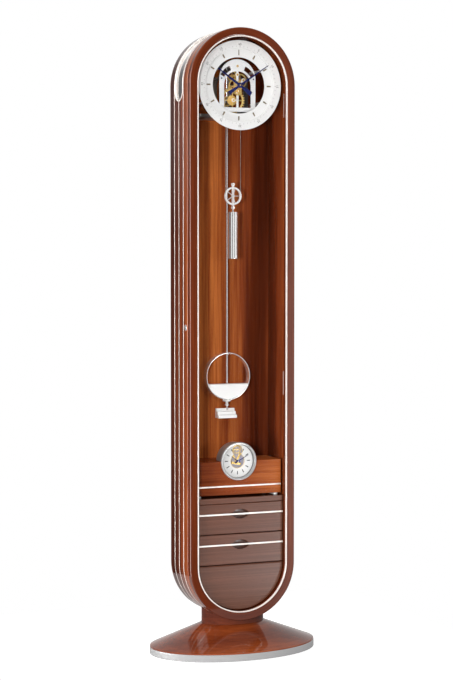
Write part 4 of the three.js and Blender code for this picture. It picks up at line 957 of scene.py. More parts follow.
# a wheel's pitch diameter is its count of teeth times the module of the pair that it meshes in
modules = {"great": 2.68, "centre": 1.0, "third": 1.04, "minute": 1.45, "hour": 1.16}
wheelTeeth = {"great": 30, "centre": 48, "third": 45, "motion": 18, "hour": 24, "escape": 30, "pinion": 6}
escapeRadius = lowHigh("escape_wheel")[1][0]
swingCentre = (0.0, lowHigh("suspension_cock")[1][2] - movement["cockDrop"] * mm)
escapeSpot = (0.0, swingCentre[1] - escapeRadius * math.sqrt(2))


def meeting(a, reachA, b, reachB):
    # the point to the right of the line from a to b at those distances from each
    dx, dz = b[0] - a[0], b[1] - a[1]
    span = math.hypot(dx, dz)
    along = (reachA ** 2 - reachB ** 2 + span ** 2) / (2 * span)
    across = math.sqrt(max(reachA ** 2 - along ** 2, 0))
    return (a[0] + (dx * along + dz * across) / span, a[1] + (dz * along - dx * across) / span)


def bearing(a, b):
    # the direction from a to b
    return math.atan2(b[1] - a[1], b[0] - a[0])


def facing(a, b):
    # the direction that sets a gap between a pinion's teeth, not a tooth, towards b
    return bearing(a, b) + math.pi / wheelTeeth["pinion"]


def apart(wheel, other, module):
    # how far apart two wheels that mesh stand: half the sum of their teeth, times the module
    return (wheelTeeth[wheel] + wheelTeeth[other]) / 2 * modules[module] * mm


centreApart, thirdApart = apart("centre", "pinion", "centre"), apart("third", "pinion", "third")
thirdSpot = meeting(centre, centreApart, escapeSpot, thirdApart)
greatAcross = movement["greatAcross"] * mm
greatDrop = math.sqrt(apart("great", "pinion", "great") ** 2 - greatAcross ** 2)
greatSpot = (-greatAcross, dialCentre - greatDrop)
motionSpot = (0.0, dialCentre - apart("motion", "pinion", "minute"))
plate = movement["plate"] * mm
frontFace = lowHigh("front_plate")[1][1] - plate
rearFace = lowHigh("anchor")[1][1] - movement["anchorBehind"] * mm
plateTop = dialCentre + movement["plateRise"] * mm
seatTop = lowHigh("seat_board")[1][2]


def bar(a, b, width):
    # a straight strip from a to b
    a, b = np.array(a), np.array(b)
    side = np.array([-(b - a)[1], (b - a)[0]]) / np.linalg.norm(b - a) * width / 2
    return np.array([a - side, b - side, b + side, a + side])


def sector(inner, outer, start, end, x, z, steps=24):
    # part of a flat ring between two angles: the outer arc, then the inner one back
    return np.concatenate([arc(outer, start, end, steps, x, z), arc(inner, end, start, steps, x, z)])


def movementPlate(front):
    # a round-topped plate with a wide window and two eyes, three bars and a boss at each arbor
    back = front + plate
    half = movement["plateHalf"] * mm
    foot = seatTop + 0.3 * mm
    outline = np.concatenate([arc(half, 0, math.pi, 64, 0, plateTop - half), [[-half, foot], [half, foot]]])
    window, sill = movement["window"] * mm, seatTop + 14 * mm
    opening = np.concatenate([arc(window, 0, math.pi, 64, 0, dialCentre), [[-window, sill], [window, sill]]])
    eyes = []
    for start in movement["eyes"]:
        first, last = math.radians(start), math.radians(start + movement["eyeSpan"])
        eye = sector(window + 7 * mm, window + 22 * mm, first, last, 0, dialCentre)
        eyes.append(rounded(eye, 0.6 * mm, 1))
    shells = [flatPlate([outline, opening, *eyes], front, back, 0.5 * mm)]
    inset = 0.15 * mm
    upright = ((0, sill - 6 * mm), (0, dialCentre + window + 3 * mm), 7 * mm)
    for a, b, width in (upright, (centre, thirdSpot, 5 * mm), ((0, greatSpot[1]), greatSpot, 5 * mm)):
        shells.append(flatPlate([bar(a, b, width)], front + inset, back - inset, 0.4 * mm))
    for spot in (centre, escapeSpot, thirdSpot, greatSpot):
        shells.append(rod(6 * mm, front + inset / 2, back - inset / 2, spot, 40, 0.4 * mm))
    return shells


frontShells = movementPlate(frontFace)
frontShells.append(rod(1.4 * mm, lowHigh("front_plate")[0][1], frontFace + mm, motionSpot, 20))
place(joined(*frontShells), "movement_front", "case", satin, "front_plate")
rearShells = movementPlate(rearFace)
aside = movement["pillarAcross"] * mm
pillars = [(x, z) for x in (-aside, aside) for z in (seatTop + 8 * mm, dialCentre + 22 * mm)]
pillarFront = frontFace + plate + 0.3 * mm
for spot in pillars:
    rearShells.append(rod(movement["pillar"] * mm, pillarFront, rearFace + mm, spot, 32, 0.3 * mm))
# painted shade: the rear plate and pillars are near black
place(joined(*rearShells), "movement_rear", "case", plateShadeSteel, "rear_plate")

# screws sit on the pillars, and each pivot has a ruby in a brass setting
screws, settings, rubies = [], [], []
for spot in pillars:
    screws.append(rod(movement["screw"] * mm, frontFace - 1.1 * mm, frontFace + 0.5 * mm, spot, 32, 0.3 * mm))
chaton = movement["chaton"] * mm
for spot in (escapeSpot, thirdSpot, swingCentre):
    front, back = frontFace - 0.5 * mm, frontFace + 0.4 * mm
    settings.append(collar(1.7 * mm, chaton, front, back, 0.2 * mm, spot))
    front, back = frontFace - 0.35 * mm, frontFace + 0.3 * mm
    rubies.append(collar(0.9 * mm, 1.75 * mm, front, back, 0.15 * mm, spot, 36))
place(joined(*screws), "plate_screws", "case", blued)
place(joined(*settings), "pivot_settings", "case", brass)
place(joined(*rubies), "pivot_rubies", "case", ruby)


def gearLine(teeth, module, first):
    # seven points to a tooth, from the root circle over the pitch circle to a narrow tip: (r cos, r sin)
    pitch = teeth * module / 2
    root, tip = pitch - module * 1.15, pitch + module * 0.75
    step = fullTurn / teeth
    radius = np.array([root, root, pitch, tip, tip, pitch, root])
    share = np.array([-0.4, -0.26, -0.2, -0.09, 0.09, 0.2, 0.26])
    angle = first + (np.arange(teeth)[:, None] + share) * step
    return np.stack([radius * np.cos(angle), radius * np.sin(angle)], -1).reshape(-1, 2)


def spokeWindows(inner, outer, count, width, steps=12):
    # the openings between a wheel's spokes: parts of a ring, less asin(width / 2 / radius) at both ends
    out = []
    far, near = [math.asin(width / 2 / r) for r in (outer, inner)]
    for i in range(count):
        start, end = fullTurn * i / count, fullTurn * (i + 1) / count
        opening = [arc(outer, start + far, end - far, steps), arc(inner, end - near, start + near, steps)]
        out.append(rounded(np.concatenate(opening), 0.8 * mm, 1))
    return out


def gear(kind, size, first, front, back, spot, spokes=0, bore=0):
    # a toothed wheel or pinion whose first tooth points along first
    teeth, module = wheelTeeth[kind], modules[size] * mm
    root = teeth * module / 2 - module * 1.15
    inner = max(root * 0.24, max(bore, 1.6 * mm) + 3 * mm)
    holes = spokeWindows(inner, root - max(1.8 * mm, root * 0.12), spokes, 2.4 * mm) if spokes else []
    if bore:
        holes.append(circle(bore, 28))
    outlines = [gearLine(teeth, module, first), *holes]
    return flatPlate(outlines, front, back, movement["toothEdge"] * mm, 0, 0, spot)


def arborRods(spot, start, ahead):
    # an arbor between the plates from start, and the thin pivot through them from ahead
    arbor = rod(movement["arbor"] * mm, start, rearFace - 0.5 * mm, spot, 24)
    return [arbor, rod(movement["pivot"] * mm, ahead, rearFace + plate, spot, 20)]


pitch = (rearFace - frontFace - plate) * 0.1725
greatPlane = frontFace + plate + pitch / 2
centrePlane, thirdPlane = greatPlane + pitch, greatPlane + 2 * pitch
escapePlane = thirdPlane + pitch * 1.8
cannonPlane, hourPlane = frontFace - 4 * mm, frontFace - 8 * mm
handPlane = lowHigh("hour_hand")[0][1]
back = rearFace + plate
greatTooth = bearing(greatSpot, centre)
great = [
    gear("great", "great", greatTooth, greatPlane, greatPlane + 3 * mm, greatSpot, 4, 3.1 * mm),
    collar(3.1 * mm, 7 * mm, greatPlane - 2 * mm, greatPlane + 4.5 * mm, 0.3 * mm, greatSpot, 40)]
place(joined(*great), "wheel_great", "great", brass, "great_wheel")
clear = 0.5 * mm
centreParts = [
    rod(1.8 * mm, lowHigh("minute_hand")[0][1] - mm, handPlane, centre, 24),
    rod(2.4 * mm, handPlane - 1.5 * mm, centrePlane + 4 * mm, centre, 28),
    *arborRods(centre, centrePlane, rearFace - mm),
    gear("pinion", "great", facing(centre, greatSpot), greatPlane - mm, greatPlane + 4 * mm, centre),
    gear("centre", "centre", bearing(centre, thirdSpot), centrePlane, centrePlane + 2 * mm, centre, 4),
    gear("pinion", "minute", facing(centre, motionSpot), cannonPlane - clear, frontFace - clear, centre)]
place(joined(*centreParts), "wheel_centre", "minute_arbor", brass, "centre_wheel")
thirdParts = [
    *arborRods(thirdSpot, frontFace + 3.5 * mm, frontFace),
    gear("pinion", "centre", facing(thirdSpot, centre), centrePlane - mm, centrePlane + 3 * mm, thirdSpot),
    gear("third", "third", bearing(thirdSpot, escapeSpot), thirdPlane, thirdPlane + 2 * mm, thirdSpot, 4)]
place(joined(*thirdParts), "wheel_third", "third", brass, "third_wheel")


def escapeLine():
    # four points (r cos, r sin) to a tooth, its tip leaning forward
    teeth = wheelTeeth["escape"]
    radius = escapeRadius * np.array([0.82, 1, 0.985, 0.84])
    angle = (np.arange(teeth)[:, None] + np.array([0, 0.3, 0.36, 0.5])) * fullTurn / teeth
    return np.stack([radius * np.cos(angle), radius * np.sin(angle)], -1).reshape(-1, 2)


spokes = spokeWindows(5 * mm, escapeRadius * 0.7, 4, 2 * mm)
escapeParts = [
    *arborRods(escapeSpot, frontFace + 3.5 * mm, frontFace),
    flatPlate([escapeLine(), *spokes], escapePlane, escapePlane + 2 * mm, 0.05 * mm, 0, 0, escapeSpot),
    gear("pinion", "third", facing(escapeSpot, thirdSpot), thirdPlane - mm, thirdPlane + 3 * mm, escapeSpot)]
place(joined(*escapeParts), "wheel_escape", "escape", brass, "escape_wheel")
motionTooth, leafTooth = bearing(motionSpot, centre), facing(motionSpot, centre)
motionParts = [
    gear("motion", "minute", motionTooth, cannonPlane, cannonPlane + 2 * mm, motionSpot, 4, 1.5 * mm),
    gear("pinion", "hour", leafTooth, hourPlane - mm, cannonPlane + 0.5 * mm, motionSpot, 0, 1.5 * mm)]
place(joined(*motionParts), "wheel_motion", "motion", brass, "motion_wheel")
hourParts = [
    gear("hour", "hour", bearing(centre, motionSpot), hourPlane, hourPlane + 2 * mm, centre, 4, 3.4 * mm),
    collar(2.5 * mm, 4 * mm, handPlane - 0.5 * mm, hourPlane + 2.6 * mm, 0.2 * mm, centre, 32)]
place(joined(*hourParts), "wheel_hour", "hour_pipe", brass, "hour_wheel")

barrelSize = {
    "drum": 11.2, "flange": 16.2, "sheet": 2.0, "arbor": 3.0, "pivot": 2.0, "squareHalf": 2.0, "square": 7.0,
}
cord = {"radius": 0.8, "pitch": 1.6, "line": 12.3, "sleeve": 11.5}
woundLow, woundHigh = lowHigh("wound_cable")
drumStart, drumEnd = greatPlane + 7 * mm, rearFace - 6 * mm
flange, sheet = barrelSize["flange"] * mm, barrelSize["sheet"] * mm
side = barrelSize["squareHalf"] * mm
near = [greatSpot[0] - side, frontFace - barrelSize["square"] * mm, greatSpot[1] - side]
drumParts = [
    rod(barrelSize["drum"] * mm, drumStart, drumEnd, greatSpot, 56),
    rod(flange, drumStart - sheet, drumStart, greatSpot, 64, 0.4 * mm),
    rod(flange, drumEnd, drumEnd + sheet, greatSpot, 64, 0.4 * mm),
    rod(barrelSize["arbor"] * mm, frontFace - 0.5 * mm, drumStart, greatSpot, 28),
    rod(barrelSize["pivot"] * mm, drumEnd, back, greatSpot, 24),
    block(near, [greatSpot[0] + side, frontFace, greatSpot[1] + side], 0.25 * mm)]
place(joined(*drumParts), "winding_barrel", "drum", brass, "winding_drum")

# each wind of cable is one round of the sleeve's scalloped outside
cordRadius, cordPitch, sleeve = [cord[size] * mm for size in ("radius", "pitch", "sleeve")]
windStart = drumStart + 0.3 * mm
winds = int((woundHigh[1] - windStart) / (cordPitch + 0.02 * mm))
wave = [[sleeve, windStart]]
for i in range(winds):
    middle = windStart + (i + 0.5) * cordPitch
    for a in np.linspace(-1.3, 1.3, 7):
        wave.append([cord["line"] * mm + cordRadius * math.cos(a), middle + cordRadius * math.sin(a)])
wave.append([sleeve, windStart + winds * cordPitch])
hangLow, hangHigh = lowHigh("weight_cable")
cableY = (hangLow[1] + hangHigh[1]) / 2
cableSpread = hangHigh[0] - cordRadius
windParts = [
    turned(loop(np.array(wave)), greatSpot, 64),
    post(cordRadius, woundLow[2], greatSpot[1], (-cableSpread, cableY), 16, 0.1 * mm)]
place(joined(*windParts), "cable_winds", "case", cable, "wound_cable")
print("movement made")


# pendulum, and the stepped scale under it
pendulum = {"ring": 2.6, "fillDrop": 25.0, "fillInset": 2.0, "edge": 0.7, "rod": 3.0, "eye": 6.0}
bobLow, bobHigh = lowHigh("bob")
bobRadius, bobCentre = bobHigh[0], (bobLow[2] + bobHigh[2]) / 2
rodLow, rodHigh = lowHigh("pendulum_rod")
swingY = (rodLow[1] + rodHigh[1]) / 2
barParts = [
    post(pendulum["rod"] * mm, rodLow[2], swingCentre[1] - 4 * mm, (0, swingY), 32, 0.6 * mm),
    collar(2.1 * mm, pendulum["eye"] * mm, rodLow[1], rodHigh[1], 0.4 * mm, swingCentre)]
place(joined(*barParts), "pendulum_bar", "pendulum", mirrorSteel, "pendulum_rod")
bobMiddle = (0, bobCentre)
innerBob = bobRadius - pendulum["ring"] * mm
place(collar(innerBob, bobRadius, bobLow[1], bobHigh[1], pendulum["edge"] * mm, bobMiddle, 160, 3),
      "bob_ring", "pendulum", mirrorSteel, "bob")
drop = math.asin(pendulum["fillDrop"] * mm / innerBob)
segment = arc(innerBob + 0.2 * mm, -math.pi + drop, -drop, 72)
inset = pendulum["fillInset"] * mm
fill = flatPlate([segment], bobLow[1] + inset, bobHigh[1] - inset, 0.6 * mm, 2, 0, bobMiddle)
place(fill, "bob_fill", "pendulum", bright)

# the nut's section in millimetres of radius and height under its top: wheel, sleeve and foot
nutLine = [
    [3.2, 0], [13.0, 0], [13.5, -0.5], [13.5, -4.5], [13.0, -5], [5.2, -6.2], [4.5, -7], [4.5, -14.6],
    [6.2, -15.6], [6.5, -16.2], [6.5, -18.6], [6.1, -19], [3.2, -19]]
nutLine = loop(np.array(nutLine) * mm + [0, lowHigh("rating_nut")[1][2]])
place(spun(nutLine, (0, swingY), 72), "rating_wheel", "nut", bright, "rating_nut")
scaleLow, scaleHigh = lowHigh("beat_scale")
step = (scaleHigh[2] - scaleLow[2]) / 3
steps = []
for i in range(3):
    low = [scaleLow[0], scaleHigh[1] - step * (i + 1), scaleHigh[2] - step * (i + 1)]
    steps.append(block(low, [scaleHigh[0], scaleHigh[1], scaleHigh[2] - step * i], 0.4 * mm))
place(joined(*steps), "swing_scale", "case", bright, "beat_scale")
print("pendulum made")


# weight: cylinder, hanger, pulley and cable
hanging = {
    "body": 150.0, "edge": 1.2, "stem": 2.5, "head": 3.8, "headRise": 6.3, "wall": 1.5,
    "axle": 2.0, "hub": 4.2, "hubBore": 2.1, "groove": 3.3, "rim": 1.6, "spoke": 1.4,
}
weightLow, weightHigh = lowHigh("weight")
stirrupLow, stirrupHigh = lowHigh("stirrup")
pulleyLow, pulleyHigh = lowHigh("pulley")
weightRadius, weightY = weightHigh[0], (weightLow[1] + weightHigh[1]) / 2
bodyFoot, bodyTop = weightLow[2], weightLow[2] + hanging["body"] * mm
shoulder, ease = hanging["edge"] * mm, 0.35 * mm
stem, head = hanging["stem"] * mm, hanging["head"] * mm
headFoot, headTop = stirrupLow[2] + hanging["headRise"] * mm, weightHigh[2]
weightLine = [
    [0, bodyFoot], [weightRadius - shoulder, bodyFoot], [weightRadius - ease, bodyFoot + ease],
    [weightRadius, bodyFoot + shoulder], [weightRadius, bodyTop - shoulder],
    [weightRadius - ease, bodyTop - ease], [weightRadius - shoulder, bodyTop], [stem, bodyTop],
    [stem, headFoot], [head, headFoot], [head, headTop - 0.6 * mm], [head - 0.6 * mm, headTop], [0, headTop]]
weightBody = spun(weightLine, (0, weightY), 96)
place(weightBody, "weight_body", "hanging_weight", mirrorSteel, "weight")
gauge = hanging["wall"] * mm
half, waist = stirrupHigh[0], stirrupHigh[0] * 0.42


def stirrupPlate(front, back):
    # a slim strap that widens to a round eye at each end: two arcs joined by straight sides
    top, bottom = stirrupHigh[2] - half, stirrupLow[2] + half
    upper = arc(half, -0.5, math.pi + 0.5, 20, 0, top)
    lower = arc(half, math.pi - 0.5, fullTurn + 0.5, 20, 0, bottom)
    neckTop, neckFoot = top - 1.6 * half, bottom + 1.6 * half
    left, right = [[-waist, neckTop], [-waist, neckFoot]], [[waist, neckFoot], [waist, neckTop]]
    outline = np.concatenate([upper, left, lower, right])
    eyes = [circle(half * 0.42, 24, 0, middle) for middle in (top, bottom)]
    return flatPlate([outline, *eyes], front, back, 0.3 * mm)


pulleyMiddle = (0, (pulleyLow[2] + pulleyHigh[2]) / 2)
front, rear = stirrupLow[1] + mm, stirrupHigh[1] - mm
crossLow, crossHigh = stirrupLow[2] + 0.4 * mm, stirrupLow[2] + 5.6 * mm
foot = block([-0.8 * half, front, crossLow], [0.8 * half, rear, crossHigh], 0.3 * mm)
hole = post(stem + 0.15 * mm, stirrupLow[2] - mm, stirrupLow[2] + 7 * mm, (0, weightY), 32)
parts = [
    stirrupPlate(stirrupLow[1], stirrupLow[1] + gauge),
    stirrupPlate(stirrupHigh[1] - gauge, stirrupHigh[1]),
    block([-waist, front, stirrupHigh[2] - 3 * mm], [waist, rear, stirrupHigh[2] - 0.4 * mm], 0.3 * mm),
    carve(foot, hole),
    rod(hanging["axle"] * mm, stirrupLow[1], stirrupHigh[1], pulleyMiddle, 24)]
place(joined(*parts), "weight_hanger", "hanging_weight", bright, "stirrup")
front, rear = pulleyLow[1], pulleyHigh[1]
sheaveRadius = pulleyHigh[0]
bed = sheaveRadius - hanging["groove"] * mm
rimInside = bed - hanging["rim"] * mm
mid = (front + rear) / 2
bend = np.linspace(-1.4, 1.4, 7)
groove = [[bed + 0.8 * mm * (1 - math.cos(a)), mid + 1.1 * mm * math.sin(a)] for a in bend]
ease = 0.3 * mm
rimLine = [
    [rimInside, front], [sheaveRadius - ease, front], [sheaveRadius, front + ease], *groove,
    [sheaveRadius, rear - ease], [sheaveRadius - ease, rear], [rimInside, rear]]
parts = [
    turned(loop(np.array(rimLine)), pulleyMiddle, 96),
    collar(hanging["hubBore"] * mm, hanging["hub"] * mm, front, rear, 0.3 * mm, pulleyMiddle, 40)]
for i in range(5):
    angle = math.radians(90 - 72 * i - 18)
    aim = np.array([math.cos(angle), math.sin(angle)])
    spoke = bar(aim * 3 * mm, aim * (bed - mm), hanging["spoke"] * mm)
    parts.append(flatPlate([spoke], mid - mm, mid + mm, 0.3 * mm, 1, 0, pulleyMiddle))
place(joined(*parts), "pulley_wheel", "sheave", bright, "pulley")


def tube(path, radius, sides=14):
    # a round cord along a path that is flat in x and z: path + radius (side cos + depth sin), both ends closed
    path = np.array(path)
    ahead = np.gradient(path, axis=0)
    ahead /= np.linalg.norm(ahead, axis=1)[:, None]
    side = np.stack([-ahead[:, 2], np.zeros(len(path)), ahead[:, 0]], 1)
    angle = np.linspace(0, fullTurn, sides + 1)
    ring = side[:, None] * np.cos(angle)[None, :, None] + np.array([0, 1, 0]) * np.sin(angle)[None, :, None]
    points = path[:, None] + ring * radius
    uv = np.stack(np.broadcast_arrays(lengths(path)[:, None], angle[None]), -1)
    return Form().patch(points, uv).lid(points[0, :-1]).lid(points[-1, :-1])


top = hangHigh[2]
run = np.linspace(top, pulleyMiddle[1], 40)[:-1]
under = np.linspace(math.pi, fullTurn, 49)
cablePath = np.concatenate([
    np.stack([np.full(39, -cableSpread), run], 1),
    np.stack([cableSpread * np.cos(under), pulleyMiddle[1] + cableSpread * np.sin(under)], 1),
    np.stack([np.full(39, cableSpread), run[::-1]], 1)])
cablePath = np.insert(cablePath, 1, cableY, axis=1)
line = place(tube(cablePath, cordRadius), "weight_line", "case", cable, "weight_cable")
line.parent = None
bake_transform(line)
print("weight made")


# cabinet, drawers and shelf box
cabinet = {
    "board": 12.0, "edge": 1.3, "trayWall": 7.0, "trayFloor": 5.0, "pullWidth": 64.5, "pullHeight": 31.0,
    "pullDepth": 9.0, "stripEdge": 0.7, "stripGap": 0.3, "boxWall": 8.0, "seat": 58.3,
}
cabLow, cabHigh = lowHigh("cabinet")
insideRadius = lowHigh("drawer_upper")[1][0]
frontFaceY = cabLow[1]
boardBack = frontFaceY + cabinet["board"] * mm
edge = cabinet["edge"] * mm
# painted shade: the front wood darkens behind its front face, in the finger pulls, along the boards and on the
# top board under the shelf box
frontWood = woodLook("wood_front", "level", {**levelLook, "pitAt": frontFaceY + 1.6 * mm, "pitPaintedShade": 0.4})
panelTop = lowHigh("drawer_lower")[0][2] - 3 * mm
bottom = panelTop - 5.5 * mm
dip = math.asin((lowerCentre - panelTop) / insideRadius)
bowl = arc(insideRadius, math.pi + dip, fullTurn - dip, 96, 0, lowerCentre)
lowerPanel = flatPlate([bowl], frontFaceY, boardBack, edge, 3)
place(lowerPanel, "lower_panel", "case", levelWood, "cabinet")
bays = [lowHigh(n) for n in ("drawer_upper", "drawer_lower")]
low = [-insideRadius, frontFaceY, bays[0][1][2] + 1.5 * mm]
topBoard = block(low, [insideRadius, boardBack + 2 * mm, cabHigh[2]], edge, 3)
place(topBoard, "cabinet_top", "case", frontWood, "cabinet")

# boards behind the fronts: two sides, one board over each drawer and one under the lower drawer
wallIn, wallOut = insideRadius - 1.8 * mm, wallRadius - 1.2 * mm
carcassFront, carcassBack = boardBack + 0.3 * mm, cabHigh[1]
boards = []
for side in (-1, 1):
    x = sorted([side * wallIn, side * wallOut])
    boards.append(box([x[0], carcassFront, bottom], [x[1], carcassBack, cabHigh[2]]))
(upperLow, upperHigh), (lowerLow, lowerHigh) = bays
under, over = 2 * mm, 1.5 * mm
levels = [
    (upperHigh[2] - under, cabHigh[2], boardBack + 2.5 * mm),
    (lowerHigh[2] - under, upperLow[2] + over, carcassFront),
    (bottom, lowerLow[2] + over, carcassFront)]
for low, high, front in levels:
    boards.append(box([-wallIn - mm, front, low], [wallIn + mm, carcassBack, high]))
place(joined(*boards), "cabinet_boards", "case", frontWood, "cabinet")


def lens(width, height, z, steps=24):
    # two equal arcs that meet in points, of radius (width^2 + height^2) / (4 height)
    radius = (width ** 2 + height ** 2) / (4 * height)
    half, rise = math.asin(width / 2 / radius), radius - height / 2
    return np.concatenate([
        arc(radius, math.pi / 2 - half, math.pi / 2 + half, steps, 0, z - rise),
        arc(radius, -math.pi / 2 - half, -math.pi / 2 + half, steps, 0, z + rise)[1:-1]])


stripGap, stripEdge = cabinet["stripGap"] * mm, cabinet["stripEdge"] * mm


def stripChannel(front, stripLow, stripHigh):
    # the slot that a bright strip lies in, cut right across a wooden front
    return box([-0.2, front - 2 * mm, stripLow[2] - stripGap],
               [0.2, stripHigh[1] + stripGap, stripHigh[2] + stripGap])


def drawer(level):
    # a front with a lens-shaped finger pull behind its bright strip, and a tray on it
    node, stripNode, body = "drawer_" + level, "strip_" + level, level + "_drawer"
    low, high = lowHigh(node)
    stripLow, stripHigh = lowHigh(stripNode)
    middle, depth = (stripLow[2] + stripHigh[2]) / 2, cabinet["pullDepth"] * mm
    front = block(low, [high[0], boardBack, high[2]], edge, 3)
    pull = lens(cabinet["pullWidth"] * mm, cabinet["pullHeight"] * mm, middle)
    scoop = flatPlate([pull], frontFaceY - depth, frontFaceY + depth, 3 * mm, 4)
    cut = carve(front, scoop, stripChannel(frontFaceY, stripLow, stripHigh))
    place(cut, "drawer_front_" + level, body, frontWood, node)
    wall, floor = cabinet["trayWall"] * mm, cabinet["trayFloor"] * mm
    x, back, base, rim = insideRadius - 3 * mm, high[1], low[2] + 2.5 * mm, high[2] - 16 * mm
    start = boardBack - 0.5 * mm
    tray = [
        block([-x, start, base], [x, back, base + floor], 0.4 * mm),
        block([-x, start, base], [-x + wall, back, rim], 0.8 * mm),
        block([x - wall, start, base], [x, back, rim], 0.8 * mm),
        block([-x, back - wall, base], [x, back, rim], 0.8 * mm)]
    place(joined(*tray), "drawer_tray_" + level, body, levelWood, node)
    strip = block(stripLow, stripHigh, stripEdge, 3)
    place(strip, "drawer_strip_" + level, body, trim, stripNode)


drawer("upper")
drawer("lower")

for side in ("left", "right"):
    low, high = lowHigh("standoff_" + side)
    x, radius = (low[0] + high[0]) / 2, (high[0] - low[0]) / 2
    pads = [post(radius, low[2], high[2], (x, y), 56, 0.8 * mm) for y in (low[1] + radius, high[1] - radius)]
    near, far = [x - 4 * mm, low[1] + radius, low[2]], [x + 4 * mm, high[1] - radius, low[2] + 2 * mm]
    runner = block(near, far, 0.4 * mm)
    place(joined(*pads, runner), "spacer_" + side, "case", bright, "standoff_" + side)

boxLow, boxHigh = lowHigh("shelf_box")
clockLow, clockHigh = lowHigh("shelf_case")
shelfZ, bezelRadius = (clockLow[2] + clockHigh[2]) / 2, clockHigh[0]
stripLow, stripHigh = lowHigh("strip_box")
boxWall = cabinet["boxWall"] * mm
shelfBlock = block(boxLow, boxHigh, edge, 3)
hollow = box(boxLow + boxWall, [boxHigh[0] - boxWall, boxHigh[1] + 0.01, boxHigh[2] - boxWall])
seat = rod(cabinet["seat"] * mm, boxLow[1] - 5 * mm, clockHigh[1] + 0.3 * mm, (0, shelfZ), 128, 0.01 * mm)
shelfWood = carve(shelfBlock, hollow, seat, stripChannel(boxLow[1], stripLow, stripHigh))
place(shelfWood, "shelf_case_wood", "case", boxWood, "shelf_box")
place(block(stripLow, stripHigh, stripEdge, 3), "shelf_strip", "case", trim, "strip_box")
print("cabinet made")


# shelf clock
shelf = {
    "bore": 54.0, "body": 58.0, "floor": 3.0, "bead": 3.0, "dialRadius": 53.4, "openRadius": 23.0,
    "windowRadius": 17.0, "windowRise": 33.0, "batonReach": 38.0, "batonLength": 11.0, "batonWidth": 3.4,
    "tickReach": 51.2, "tickLong": 2.2, "tickShort": 1.2, "tickWidth": 0.4, "plate": 46.0,
    # reach, tail and boss width in millimetres, angle in degrees
    "minute": (40, 12, 3.4, 62), "hour": (27, 9, 4, 305),
}
shelfCentre = (0, shelfZ)
start, back = clockLow[1], clockHigh[1]
shoulder = boxLow[1] - 0.3 * mm
bore, outer = shelf["bore"] * mm, bezelRadius
turnIn = np.linspace(0, math.pi / 2, 6)
beadSize, body, floorFace = shelf["bead"] * mm, shelf["body"] * mm, back - shelf["floor"] * mm
beadMiddle = [outer - beadSize, start + beadSize]
bead = [[beadMiddle[0] + beadSize * math.cos(a), beadMiddle[1] - beadSize * math.sin(a)] for a in turnIn]
flare = [[bore + 1.2 * mm, start + 0.8 * mm], [bore, start + 2.6 * mm]]
cup = [
    [0, back], [body, back], [body, shoulder], [outer, shoulder],
    *bead, *flare, [bore, floorFace], [0, floorFace]]
parts = [
    turned(loop(np.array(cup)), shelfCentre, 128),
    rod(2 * mm, start + 6 * mm, back - 2 * mm, shelfCentre, 24),
    rod(1.4 * mm, start + 17 * mm, back - 2 * mm, (0, shelfZ + 36 * mm), 20)]
place(joined(*parts), "shelf_clock_case", "case", steel, "shelf_case")
faceLow, faceHigh = lowHigh("shelf_dial")
front, rear = start + 9 * mm, faceLow[1] - 0.2 * mm
# painted shadow: a dark lining just inside the bore, for the shade of the bore wall
shade = collar(bore - 0.25 * mm, bore - 0.03 * mm, front, rear, 0.05 * mm, shelfCentre, 128, 1)
place(shade, "shelf_clock_shade", "case", dialDark)
faceRadius = shelf["dialRadius"] * mm
rise = shelf["windowRise"] * mm
openRadius, windowRadius = shelf["openRadius"] * mm, shelf["windowRadius"] * mm
meetZ = (openRadius ** 2 - windowRadius ** 2 + rise ** 2) / (2 * rise)
meetX = math.sqrt(openRadius ** 2 - meetZ ** 2)
lowTurn, highTurn = math.atan2(meetZ, meetX), math.atan2(meetZ - rise, meetX)


def keyhole(grow):
    # the two round openings run into one outline, lower arc then upper
    return np.concatenate([
        arc(openRadius + grow, math.pi - lowTurn, fullTurn + lowTurn, 48),
        arc(windowRadius + grow, highTurn, math.pi - highTurn, 36, 0, rise)])


face = faceLow[1]
parts = [
    flatPlate([circle(faceRadius, 128), keyhole(0)], face, face + 2 * mm, 0.3 * mm, 2, 0, shelfCentre),
    collar(faceRadius - 2 * mm, faceRadius, face + mm, faceHigh[1], 0.2 * mm, shelfCentre, 96)]
place(joined(*parts), "shelf_clock_dial", "case", dialWhite, "shelf_dial")
marks = []
long, wide = shelf["batonLength"] / 2 * mm, shelf["batonWidth"] / 2 * mm
outline = [[-wide * 0.7, -long], [wide * 0.7, -long], [wide, long], [-wide, long]]
for hour in range(1, 12):
    angle = hour * fullTurn / 12
    spot = around(angle, shelf["batonReach"] * mm, shelfCentre)
    marks.append(flatPlate([outline], face - 0.3 * mm, face + 0.1 * mm, 0.08 * mm, 1, angle, spot))
for minute in range(60):
    angle = minute * fullTurn / 60
    long, wide = shelf["tickShort" if minute % 5 else "tickLong"] / 2 * mm, shelf["tickWidth"] / 2 * mm
    outline = [[-wide, -long], [wide, -long], [wide, long], [-wide, long]]
    spot = around(angle, shelf["tickReach"] * mm, shelfCentre)
    marks.append(flatPlate([outline], face - 0.06 * mm, face + 0.06 * mm, 0.02 * mm, 0, angle, spot))
place(joined(*marks), "shelf_clock_marks", "case", dialDark)
openRings = [keyhole(1.2 * mm), keyhole(-0.05 * mm)]
openRim = flatPlate(openRings, face - 0.4 * mm, face + 0.2 * mm, 0.15 * mm, 1, 0, shelfCentre)
place(openRim, "shelf_clock_rings", "case", brass)
for which, name in (("minute", "shelf_long_hand"), ("hour", "shelf_short_hand")):
    length, tail, width, angle = shelf[which]
    node, body = "shelf_" + which + "_hand", "shelf_" + which
    hand(node, name, body, length * mm, tail * mm, width * mm, angle, 2.1 * mm, shelfCentre, 0.3)
wheelLow, wheelHigh = lowHigh("balance_wheel")
balanceRadius = wheelHigh[0]
